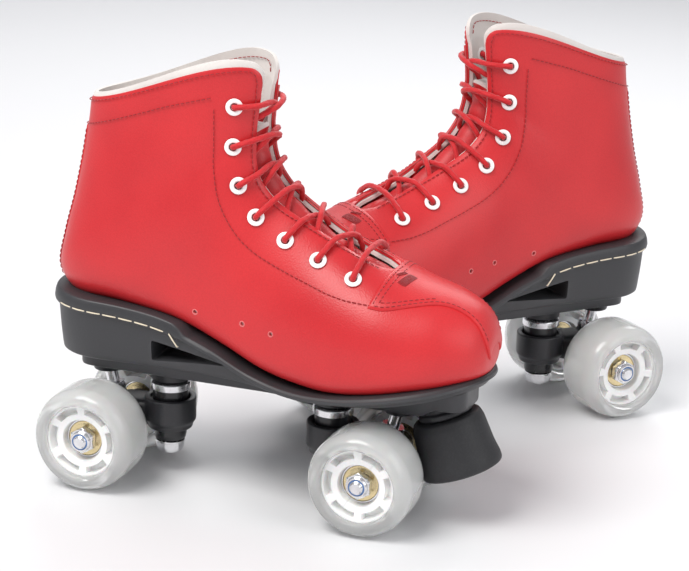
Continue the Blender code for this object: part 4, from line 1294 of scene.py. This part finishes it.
def sole_side(x):
    """Where the vertical side begins, above the tapered part."""
    return sole_edge(x) - 3.0 - 4.5 * welt_share(x)


def sole_outline(inset, height, count=110):
    angles = [math.pi * i / count for i in range(count + 1)]
    places = [SOLE_HEEL + SOLE_LENGTH * (0.5 - 0.5 * math.cos(a)) for a in angles]
    centre, shrink = SOLE_HEEL + SOLE_LENGTH / 2, 1 - 2 * inset / SOLE_LENGTH

    def point(x, side):
        half = sole_half(x, side) * (1 - inset / 42) if side else 0
        return Vector((centre + (x - centre) * shrink, side * half, height(x))) * MM

    row = [[point(x, side) for x in places[1:-1]] for side in (1, -1)]
    return [point(places[0], 0)] + row[0] + [point(places[-1], 0)] + row[1][::-1]


def last_solid(lift):
    """The boot's outside as a closed body, a little smaller or larger."""
    bm = bmesh.new()
    turns = [2 * math.pi * k / 90 for k in range(90)]
    rings = [[last.at(u, t, lift)[0] for t in turns] for u in np.linspace(0.02, 14.5, 150)]
    loft_into(bm, rings)
    return finished(bm, "last_solid", [])


def make_outsole():
    def at(low, high, share, rise=0.0):
        return lambda x: low(x) + (high(x) - low(x)) * share + rise

    levels = [(6.2, at(sole_base, sole_base, 0)), (5.2, at(sole_base, sole_base, 0, 0.15)),
              (4.5, at(sole_base, sole_base, 0, 0.7)), (4.1, at(sole_base, sole_side, 0.12)),
              (3.2, at(sole_base, sole_side, 0.45)), (2.5, at(sole_base, sole_side, 0.8)),
              (2.3, at(sole_base, sole_side, 0.93, -0.1)), (1.9, at(sole_side, sole_side, 0, -0.25)),
              (0.7, at(sole_side, sole_side, 0, -0.05)), (0.2, at(sole_side, sole_edge, 0.08)),
              (0.0, at(sole_side, sole_edge, 0.25)), (0.35, at(sole_side, sole_edge, 0.6)),
              (1.1, at(sole_edge, sole_edge, 0, -0.8)), (1.5, at(sole_edge, sole_edge, 0, -0.25)),
              (2.1, at(sole_edge, sole_edge, 0)), (9.0, at(sole_edge, sole_edge, 0, 0.1))]
    rings = [sole_outline(inset, height) for inset, height in levels]
    bm = bmesh.new()
    made = [[bm.verts.new(p) for p in ring] for ring in rings]
    for low, high in zip(made, made[1:]):
        bridge(bm, low, high)
    total = len(made[0])
    half = total // 2
    for ring in (made[0], made[-1]):
        bm.faces.new((ring[0], ring[1], ring[total - 1]))
        for i in range(1, half - 1):
            bm.faces.new((ring[i], ring[i + 1], ring[total - i - 1], ring[total - i]))
        bm.faces.new((ring[half - 1], ring[half], ring[half + 1]))
    body = finished(bm, "outsole", [sole_rubber], 32)
    body = boolean(body, last_solid(-0.35), "DIFFERENCE")
    window = bmesh.new()
    corners = [(-46.0, DECK + 4.2), (-0.5, DECK + 8.2), (-46.0, DECK + 16.0)]
    outline = rounded_polygon(corners, 1.6, 5)
    loft_into(window, [[Vector((x, y, z)) * MM for x, z in outline] for y in (-80, 80)])
    return boolean(body, finished(window, "window", []), "DIFFERENCE")


def rounded_polygon(corners, radius, steps):
    made = []
    for k, corner in enumerate(corners):
        here = Vector(corner)
        back = (Vector(corners[k - 1]) - here).normalized()
        on = (Vector(corners[(k + 1) % len(corners)]) - here).normalized()
        a, b = here + back * radius, here + on * radius
        for i in range(steps + 1):
            t = i / steps
            made.append(a.lerp(here, t).lerp(here.lerp(b, t), t))
    return made


wear("outsole_moulding", make_outsole(), "skate", ("outsole",))

# %% [markdown]
# ### Welt stitches
# Long cream stitches run along each side of the heel welt, and the last one slants down its
# step.  Each lies on the side and dips in at both ends.

# %% welt stitches
def make_welt_stitches():
    bm = bmesh.new()
    for side in (1, -1):
        x = -101.0
        while x < -40.0:
            bar = []
            for share, lift in ((0, -0.4), (0.06, 0.12), (0.5, 0.28), (0.94, 0.12), (1, -0.4)):
                place = x + 7.9 * share
                height = sole_side(place) + (sole_edge(place) - sole_side(place)) * 0.19
                bar.append(Vector((place, side * (sole_half(place, side) + lift), height)) * MM)
            tube_into(bm, bar, [0.25 * MM, 0.38 * MM, 0.42 * MM, 0.38 * MM, 0.25 * MM], 8, tips=False)
            x += 9.2
        start = Vector((-34.6, side * (sole_half(-34.6, side) + 0.1), 92.2)) * MM
        end = Vector((-29.6, side * (sole_half(-29.6, side) + 0.1), 85.6)) * MM
        way = Vector((0, side * 0.8 * MM, 0))
        bar = [start - way, start, (start + end) / 2 + way * 0.2, end, end - way]
        tube_into(bm, bar, 0.40 * MM, 8, tips=False)
    return finished(bm, "welt_stitches", [cream_thread], 60)


wear("welt_stitches", make_welt_stitches(), "skate")
print("sole and welt stitches on both boots")

# %% [markdown]
# ## Plate and toe stop
# The plate is a flat nylon slab with rounded ends and edges.  Under it stand the two kingpin
# bosses, the two cups that hold the trucks' pivot pins, and the angled post of the toe stop.

# %% plate and toe stop
AXLE_X = 79.5
KINGPIN_INBOARD = 31.5
PLATE = 63.5                  # plate's underside above the floor
STOP_TILT = math.radians(20)
STOP_PLACE = Matrix.Translation(Vector((111.5, 0, 58.0)) * MM) @ Matrix.Rotation(-STOP_TILT, 4, "Y")
PLATE_REAR, PLATE_NOSE = -94.0, 126.0


def turned_into(bm, profile, count, place=None, axis="Z", centre=(0, 0, 0), paint=0, closed=False,
                shape=None):
    """Turn a profile given in millimetres and add it to a mesh."""
    rings = turned_rings([(r * MM, h * MM) for r, h in profile], count, axis, Vector(centre) * MM, shape)
    if place is not None:
        rings = [[place @ p for p in ring] for ring in rings]
    loft_into(bm, rings, paint, closed=closed)


def plate_section(x):
    from_end = min(x - PLATE_REAR, PLATE_NOSE - x)
    taper = min(max((x - 14) / 12, 0), 1)
    half = 23.5 - 5.5 * taper * taper * (3 - 2 * taper)
    corner = min(max(from_end / 9.0, 0), 1)
    half -= 9.0 * (1 - math.sqrt(1 - (1 - corner) ** 2))
    drop = min(max((x - 16) / 8, 0), 1) * min(max((108 - x) / 5, 0), 1) * 2.5
    rise = min(max((x - 104) / 7, 0), 1) * 1.8
    low, high = PLATE - drop + rise, sole_base(x) - 0.7
    points = []
    for y, z in ((half, high - 0.2), (half, low + 1.6), (half - 0.45, low + 0.5), (half - 1.6, low)):
        points.append((y, z))
    outline = points + [(-y, z) for y, z in reversed(points)]
    return [Vector((x, y, z)) * MM for y, z in outline]


def make_plate():
    bm = bmesh.new()
    stations = [PLATE_REAR + s for s in (0.0, 0.3, 0.9, 1.8, 3.0, 4.5, 6.5, 9.0)]
    stations += list(np.linspace(PLATE_REAR + 12, PLATE_NOSE - 12, 60))
    stations += [PLATE_NOSE - s for s in (9.0, 6.5, 4.5, 3.0, 1.8, 0.9, 0.3, 0.0)]
    loft_into(bm, [plate_section(x) for x in stations])
    for end in (-1, 1):
        boss = rounded_profile([(4.2, 55.1, 0), (10.75, 55.1, 1.0), (11.4, 61.6, 0.8),
                                (12.6, PLATE + 0.6, 0)], 4)
        turned_into(bm, boss + [(4.2, PLATE + 0.6)], 48, None, "Z", (end * (AXLE_X - KINGPIN_INBOARD), 0, 0),
                    closed=True)
        cup = rounded_profile([(5.4, 55.5, 0.3), (8.0, 55.5, 0.9), (8.6, 61.2, 0.8),
                               (9.6, PLATE + 0.6, 0)], 4)
        turned_into(bm, cup + [(5.2, PLATE + 0.6)], 40, None, "Z", (end * (AXLE_X + 6.5), 0, 0), closed=True)
    collar = rounded_profile([(0, 0.3, 0), (14.6, 0.3, 0.8), (14.4, 3.2, 0.8), (12.9, 4.2, 0.5),
                              (12.4, 10.0, 0),
                              (0, 10.0, 0)], 4)
    turned_into(bm, collar, 56, STOP_PLACE)
    return finished(bm, "plate", [black_nylon], 40)


def make_toe_stop():
    bm = bmesh.new()
    profile = rounded_profile([(0, -31, 0), (22.3, -31, 2.6), (22.2, -26.5, 1.2), (20.9, -20.0, 2),
                               (19.6, -5.0, 1.2), (18.2, -0.8, 1.4), (16.4, 0.0, 0.6), (0, 0, 0)], 5)
    turned_into(bm, profile, 80, STOP_PLACE)
    return finished(bm, "toe_stop", [stop_rubber], 50)


wear("plate_casting", make_plate(), "skate", ("plate",))
wear("toe_stop_rubber", make_toe_stop(), "skate", ("toe_stop",))
print("plate and toe stop on both skates")

# %% [markdown]
# ## Trucks
# A truck is drawn once in its own frame: x inboard from the axle, y across, z up.  The same
# mesh is then placed at the rear, and turned half round for the front.  The hanger's tube, arm,
# ring and pivot root are fused by a voxel remesh, which also rounds the inner corners the way a
# mould does; the parts it holds are separate pieces.

# %% hanger
AXLE_Z = 29.0
RING_MIDDLE = Vector((KINGPIN_INBOARD, 0, 0))
HALF_TRACK = 34.5


def truck_places():
    """The truck's frame in the skate's frame, for the rear and the front."""
    rear = Matrix.Translation((-AXLE_X * MM, 0, 0))
    front = Matrix.Translation((AXLE_X * MM, 0, 0)) @ Matrix.Rotation(math.pi, 4, "Z")
    return {"rear": rear, "front": front}


def on_trucks(name, mesh, body, stands_for=()):
    """Wear a piece on every truck; body is the truck, or the skate for a fixed piece."""
    made = []
    for end, place in truck_places().items():
        nodes = [end + "_" + cad_node for cad_node in stands_for]
        worn = wear(end + "_" + name, mesh, body if body == "skate" else end + "_" + body,
                    nodes, place)
        made += [(foot, end, worn[foot]) for foot in FEET]
    return made


def fused(mesh, voxel, faces):
    """Fuse overlapping closed bodies into one skin, soften it, and thin it out."""
    work = bpy.data.objects.new("work_fused", mesh)
    bpy.context.scene.collection.objects.link(work)
    remesh = work.modifiers.new("remesh", "REMESH")
    remesh.mode = "VOXEL"
    remesh.voxel_size = voxel
    soften = work.modifiers.new("soften", "SMOOTH")
    soften.factor = 0.5
    soften.iterations = 4
    result = bpy.data.meshes.new_from_object(work.evaluated_get(bpy.context.evaluated_depsgraph_get()))
    work.modifiers.clear()
    work.data = result
    thin = work.modifiers.new("thin", "DECIMATE")
    thin.ratio = min(1, faces / max(1, len(result.polygons) * 2))
    final = bpy.data.meshes.new_from_object(work.evaluated_get(bpy.context.evaluated_depsgraph_get()))
    bpy.data.objects.remove(work, do_unlink=True)
    final.name = mesh.name
    final.shade_smooth()
    final.set_sharp_from_angle(angle=math.radians(50))
    return final


def make_hanger():
    bm = bmesh.new()
    tube = [(0, -26.2), (6.0, -26.2), (6.5, -16.6), (8.8, -15.6), (10.2, -6), (10.2, 6), (8.8, 15.6),
            (6.5, 16.6), (6.0, 26.2), (0, 26.2)]
    turned_into(bm, tube, 40, axis="Y", centre=(0, 0, AXLE_Z))
    rings = []
    for x, half, low, high in ((-6.0, 8.3, 25.2, 40.2), (4, 11.2, 22.8, 42.2), (14, 10.4, 26.0, 42.6),
                               (23, 9.2, 28.8, 42.4)):
        middle, tall = (low + high) / 2, (high - low) / 2
        ring = []
        for k in range(32):
            a = 2 * math.pi * k / 32
            c, s = math.cos(a), math.sin(a)
            ring.append(Vector((x, math.copysign(abs(c) ** 0.45, c) * half,
                                middle + math.copysign(abs(s) ** 0.45, s) * tall)) * MM)
        rings.append(ring)
    loft_into(bm, rings)
    cup = rounded_profile([(10.5, 27.0, 0.4), (12.4, 27.0, 0.8), (12.8, 29.8, 1), (14.4, 31.6, 1),
                           (14.4, 44.9, 0.8),
                           (11.2, 44.9, 0.5), (11.2, 38.0, 0.3), (5.6, 38.0, 0.3), (5.6, 34.0, 0.3),
                           (10.4, 34.0, 0.3)], 3)
    turned_into(bm, cup, 64, centre=RING_MIDDLE, closed=True)
    root = rounded_profile([(0, 0, 0), (6.6, 0, 0), (5.6, 8.5, 0.8), (0, 8.5, 0)], 3)
    turned_into(bm, root, 32, pin_place())
    return fused(finished(bm, "hanger", [black_nylon]), 0.42 * MM, 15000)


def pin_place():
    start, end = Vector((0.5, 0, AXLE_Z + 6)) * MM, Vector((-6.5, 0, 60.4)) * MM
    return Matrix.Translation(start) @ (end - start).to_track_quat("Z", "Y").to_matrix().to_4x4()


on_trucks("truck_hanger", make_hanger(), "truck", ("hanger",))
print("hangers placed on", len(truck_places()), "trucks of each skate")

# %% [markdown]
# ### Pins, cushions and washers
# Hexagons are turned profiles whose radius is held inside a six-sided prism.  A cone that runs
# into the prism leaves the curved chamfer of a real bolt head, with no extra modelling.

# %% truck hardware
def hexagon(flats):
    def shape(angle, radius, height):
        swing = (angle + math.pi / 6) % (math.pi / 3) - math.pi / 6
        return min(radius, flats / 2 * MM / math.cos(swing)), height
    return shape


def make_pin():
    bm = bmesh.new()
    pin = rounded_profile([(0, 5, 0), (3.55, 5, 0), (3.55, 24.6, 3.0), (0, 26.4, 0)], 6)
    turned_into(bm, pin, 32, pin_place())
    nut = [(3.4, 9.0), (6.0, 9.0), (6.9, 9.7), (6.9, 12.4), (6.0, 13.1), (3.4, 13.1)]
    turned_into(bm, nut, 48, pin_place(), closed=True, shape=hexagon(11.6))
    return finished(bm, "pivot_pin", [bright_steel], 30)


def make_kingpin():
    bm = bmesh.new()
    head = [(0, 12.6), (4.2, 12.4), (5.6, 12.6), (6.6, 13.2), (7.4, 14.4), (7.8, 15.6), (7.8, 18.3),
            (0, 18.3)]
    turned_into(bm, head, 72, centre=RING_MIDDLE, shape=hexagon(13.5))
    flange = rounded_profile([(0, 18.3, 0), (8.3, 18.3, 0.4), (8.3, 19.75, 0.4), (0, 19.75, 0)], 3)
    turned_into(bm, flange, 56, centre=RING_MIDDLE)
    turned_into(bm, [(0, 19.5), (3.85, 19.5), (3.85, 60.3), (0, 60.3)], 32, centre=RING_MIDDLE)
    return finished(bm, "kingpin", [bright_steel], 30)


def make_cup_washer():
    bm = bmesh.new()
    profile = rounded_profile([(4.25, 54.75, 0.2), (9.4, 54.75, 1.0), (11.15, 53.6, 0.7), (11.15, 49.7, 0.35),
                               (10.45, 49.7, 0.3), (10.35, 53.0, 0.6), (9.2, 53.3, 0.6),
                               (4.25, 53.3, 0.2)], 4)
    turned_into(bm, profile, 72, centre=RING_MIDDLE, closed=True)
    return finished(bm, "cup_washer", [bright_steel], 40)


def make_cushion(low, high, radius, waist):
    middle = (low + high) / 2
    bm = bmesh.new()
    profile = rounded_profile([(4.3, low, 0.3), (radius - 0.5, low, 1.3),
                               (radius + waist * 0.6, low + 3.2, 1.2),
                               (radius + waist, middle, 2.5), (radius + waist * 0.6, high - 3.2, 1.2),
                               (radius - 0.5, high, 1.3), (4.3, high, 0.3)], 4)
    turned_into(bm, profile, 72, centre=RING_MIDDLE, closed=True)
    return finished(bm, "cushion", [cushion_urethane], 50)


on_trucks("pivot_pin", make_pin(), "truck")
on_trucks("kingpin_bolt", make_kingpin(), "skate", ("kingpin",))
on_trucks("washer_cup", make_cup_washer(), "skate", ("cup_washer",))
upper = on_trucks("cushion_above", make_cushion(38.35, 52.9, 9.75, 0.25), "skate",
                  ("upper_cushion",))
lower = on_trucks("cushion_below", make_cushion(20.1, 33.6, 9.0, 0.25), "skate",
                  ("lower_cushion",))
for (foot, end, piece), anchor in [(item, 53.0) for item in upper] + [(item, 20.0) for item in lower]:
    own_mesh(piece)
print("truck hardware:", len(upper) + len(lower), "cushions")

# %% [markdown]
# ### Axles and lock nuts
# The axle is a threaded bar held in the hanger.  Each lock nut has six flats, a round crown
# and a ring of blue nylon inside it, with the axle's chamfered end standing just proud.

# %% axles and nuts
def make_axle():
    bm = bmesh.new()
    reach = HALF_TRACK + 16.2
    half = [(3.68, 0), (3.68, HALF_TRACK + 7.6)]
    place = HALF_TRACK + 7.9
    while place < reach - 0.9:
        half += [(3.42, place), (3.68, place + 0.32)]
        place += 0.64
    half += [(3.42, reach - 0.7), (2.8, reach), (0, reach)]
    profile = [(r, -y) for r, y in half[1:]][::-1] + half[1:]
    turned_into(bm, profile, 32, axis="Y", centre=(0, 0, AXLE_Z))
    return finished(bm, "axle", [bright_steel], 30)


def make_nuts():
    bm = bmesh.new()
    start = HALF_TRACK + 8.35
    for side in (1, -1):
        hexes = [(3.72, 0), (6.3, 0), (7.5, 0.7), (7.5, 4.0), (6.5, 4.6), (5.9, 4.7), (5.75, 5.9), (5.2, 6.5),
                 (4.6, 6.5), (4.5, 5.9), (3.72, 5.9)]
        turned_into(bm, [(r, side * (start + h)) for r, h in hexes], 72, axis="Y", centre=(0, 0, AXLE_Z),
                    closed=True, shape=hexagon(13.0))
    nuts = finished(bm, "lock_nuts", [bright_steel], 28)
    bm = bmesh.new()
    for side in (1, -1):
        ring = [(3.7, 5.92), (4.5, 5.92), (4.4, 6.35), (3.7, 6.3)]
        turned_into(bm, [(r, side * (start + h)) for r, h in ring], 40, axis="Y", centre=(0, 0, AXLE_Z),
                    closed=True)
    return nuts, finished(bm, "nut_inserts", [blue_nylon], 50)


nuts, inserts = make_nuts()
on_trucks("axle_bar", make_axle(), "truck", ("axle",))
on_trucks("lock_nuts", nuts, "truck")
on_trucks("nut_inserts", inserts, "truck")
print("axles and lock nuts on every truck")

# %% [markdown]
# ## Wheels
# Each wheel is a milky urethane tyre cast on a white nylon core.  The core's rim has wide
# teeth, which show through the tyre, and its web has arc-shaped pockets.  A wheel is drawn
# about its own centre with its outer face along +y, and placed from its spin joint, so it
# turns exactly where the frame says.

# %% wheels
def smooth_step(low, high, value):
    t = min(max((value - low) / (high - low), 0), 1)
    return t * t * (3 - 2 * t)


def make_tyre():
    bm = bmesh.new()
    half = rounded_profile([(19.9, 12.0, 0), (20.2, 15.6, 0.8), (21.8, 16.6, 1.0), (25.0, 16.1, 2.0),
                            (27.5, 13.4, 2.2), (28.80, 10.0, 3.0), (28.95, 0, 0)], 6)
    profile = half + [(r, -y) for r, y in half[::-1][1:]]
    turned_into(bm, profile, 112, axis="Y", closed=True)
    return finished(bm, "tyre", [tyre_urethane], 50)


def make_core():
    """The core as a turned body whose height and rim change with the angle."""
    def shape(angle, radius, height):
        r, y = radius / MM, height / MM
        sector = (angle / (2 * math.pi) * 6) % 1
        pocket = smooth_step(0.12, 0.16, sector) * (1 - smooth_step(0.84, 0.88, sector))
        band = smooth_step(15.0, 15.5, r) * (1 - smooth_step(18.4, 18.9, r))
        y *= 1 - 0.45 * pocket * band * (1 if abs(y) > 4 else 0)
        tooth = (angle / (2 * math.pi) * 12 + 0.25) % 1
        rise = smooth_step(0.14, 0.20, tooth) * (1 - smooth_step(0.80, 0.86, tooth))
        if r > 20.0 and abs(y) > 8.5:
            r = 20.05 + (r - 20.0) * rise
        return r * MM, y * MM

    half = [(11.15, 8.1), (11.2, 10.4), (11.4, 11.2), (11.8, 11.6), (13.0, 11.7), (14.2, 12.0), (15.0, 12.2),
            (15.15, 12.25), (15.3, 12.3), (15.5, 12.35), (16.2, 12.5), (17.0, 12.7), (17.8, 12.9),
            (18.4, 13.0),
            (18.55, 13.05), (18.7, 13.1), (18.9, 13.15), (19.4, 13.3), (19.8, 13.3), (20.05, 13.1),
            (21.6, 12.9),
            (22.2, 12.3), (22.2, 8.6), (20.6, 8.4), (20.6, 0)]
    inner = [(11.1, 7.9), (9.6, 0.9), (8.6, 0.85)]
    profile = inner[::-1] + half
    profile += [(r, -y) for r, y in half[::-1][1:]] + [(r, -y) for r, y in inner]
    bm = bmesh.new()
    turned_into(bm, profile, 288, axis="Y", closed=True, shape=shape)
    return finished(bm, "core", [core_nylon], 38)


def make_bearing():
    bm = bmesh.new()
    for side in (1, -1):
        outer = rounded_profile([(9.75, 7.55, 0.1), (9.95, 7.95, 0.15), (10.95, 7.95, 0.35),
                                 (10.95, 1.1, 0.35),
                                 (9.7, 1.1, 0.2)], 3)
        turned_into(bm, [(r, side * y) for r, y in outer], 64, axis="Y", closed=True)
        inner = rounded_profile([(3.95, 1.0, 0.2), (3.95, 8.0, 0.25), (5.6, 8.0, 0.2), (5.75, 7.5, 0.1),
                                 (5.75, 1.0, 0.2)], 3)
        turned_into(bm, [(r, side * y) for r, y in inner], 48, axis="Y", closed=True)
        # The gap ring is painted shade: a dark steel disc under the shield that closes the hollow between the
        # races.
        gap = [(9.72, 7.2), (9.72, 7.0), (5.7, 7.0), (5.7, 7.2)]
        turned_into(bm, [(r, side * y) for r, y in gap], 48, axis="Y", closed=True, paint=2)
        shield = [(9.7, 7.3), (9.55, 7.62), (9.1, 7.7), (8.6, 7.58), (7.0, 7.5), (6.3, 7.62),
                  (6.05, 7.45), (6.05, 7.25)]
        turned_into(bm, [(r, side * y) for r, y in shield], 64, axis="Y", closed=True, paint=1)
    spacer = [(4.0, -0.9), (4.0, 0.9), (5.5, 0.9), (5.5, -0.9)]
    turned_into(bm, spacer, 32, axis="Y", closed=True)
    return finished(bm, "bearing", [bright_steel, gold_shield, bearing_gap_shade], 35)


def wheel_place(foot, end, side):
    """Where a wheel stands: its spin joint, with +y outward and a turn of its own."""
    name = foot + "_" + end + "_" + side + "_spin"
    centre = joint_place(name)
    outward = Vector(JOINTS[name]["axis"]) * (1 if side == "left" else -1)
    outward.z = 0
    outward.normalize()
    turn = Matrix((Vector((outward.y, -outward.x, 0)), outward, Vector((0, 0, 1)))).transposed().to_4x4()
    spin = 0.9 * FEET.index(foot) + 2.1 * ENDS.index(end) + 0.55 * SIDES.index(side)
    return Matrix.Translation(centre) @ turn @ Matrix.Rotation(spin, 4, "Y")


def on_wheels(name, mesh, stands_for=()):
    made = 0
    for foot in FEET:
        for end in ENDS:
            for side in SIDES:
                hub = foot + "_" + end + "_" + side
                shape = mesh.copy()
                shape.transform(wheel_place(foot, end, side))
                piece = bpy.data.objects.new(hub + "_" + name, shape)
                bpy.context.scene.collection.objects.link(piece)
                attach(piece, hub + "_wheel")
                if stands_for:
                    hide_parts(*[hub + "_" + cad_node for cad_node in stands_for])
                made += 1
    return made


on_wheels("tyre", make_tyre(), ("wheel",))
on_wheels("wheel_core", make_core())
on_wheels("ball_bearing", make_bearing(), ("bearings",))
print("wheels:", len(FEET) * len(ENDS) * len(SIDES))

# %% [markdown]
# ## Floor, light and picture
# A pale floor sweeps up behind the pair, as in a studio.  One large soft lamp above and a
# little to the left makes the main shapes, a weaker one opens the shadows on the right, and a
# dim strip behind draws a thin edge of light along the leather.

# %% floor and light
def make_floor():
    bm = bmesh.new()
    profile = [(-2.6, 0.0), (1.6, 0.0)]
    profile += [(1.6 + 0.9 * math.sin(a), 0.9 - 0.9 * math.cos(a)) for a in np.linspace(0.1, math.pi / 2, 14)]
    profile += [(2.5, 3.2)]
    made = [[bm.verts.new((x, y, z - 0.0001)) for y, z in profile] for x in (-3.5, 3.5)]
    for k in range(len(profile) - 1):
        bm.faces.new((made[0][k], made[1][k], made[1][k + 1], made[0][k + 1]))
    mesh = bpy.data.meshes.new("floor")
    bm.to_mesh(mesh)
    bm.free()
    mesh.materials.append(floor_paint)
    mesh.shade_smooth()
    floor = bpy.data.objects.new("studio_floor", mesh)
    bpy.context.scene.collection.objects.link(floor)
    return floor


floor_paint = new_material("floor_paint", (0.83, 0.83, 0.84), 0.55)[0]
make_floor()


def lamp(name, place, target, size, power, colour=(1, 1, 1)):
    data = bpy.data.lights.new(name, "AREA")
    data.shape = "RECTANGLE"
    data.size, data.size_y = size
    data.energy = power
    data.color = colour
    made = bpy.data.objects.new(name, data)
    way = Vector(target) - Vector(place)
    made.matrix_world = Matrix.Translation(place) @ way.to_track_quat("-Z", "Y").to_matrix().to_4x4()
    bpy.context.scene.collection.objects.link(made)
    return made


lamp("key_lamp", (-0.75, -0.75, 1.55), (0, 0, 0.08), (1.1, 0.9), 26, (1.0, 0.99, 0.97))
lamp("fill_lamp", (1.3, -0.9, 0.9), (0, 0, 0.1), (1.0, 1.0), 7)
lamp("rim_lamp", (0.3, 1.2, 1.1), (0, 0, 0.15), (1.4, 0.4), 10)
bpy.context.scene.view_settings.view_transform = "Standard"
world = bpy.data.worlds.new("studio")
world.use_nodes = True
world.node_tree.nodes["Background"].inputs["Color"].default_value = (0.95, 0.96, 1.0, 1)
world.node_tree.nodes["Background"].inputs["Strength"].default_value = 0.50
bpy.context.scene.world = world
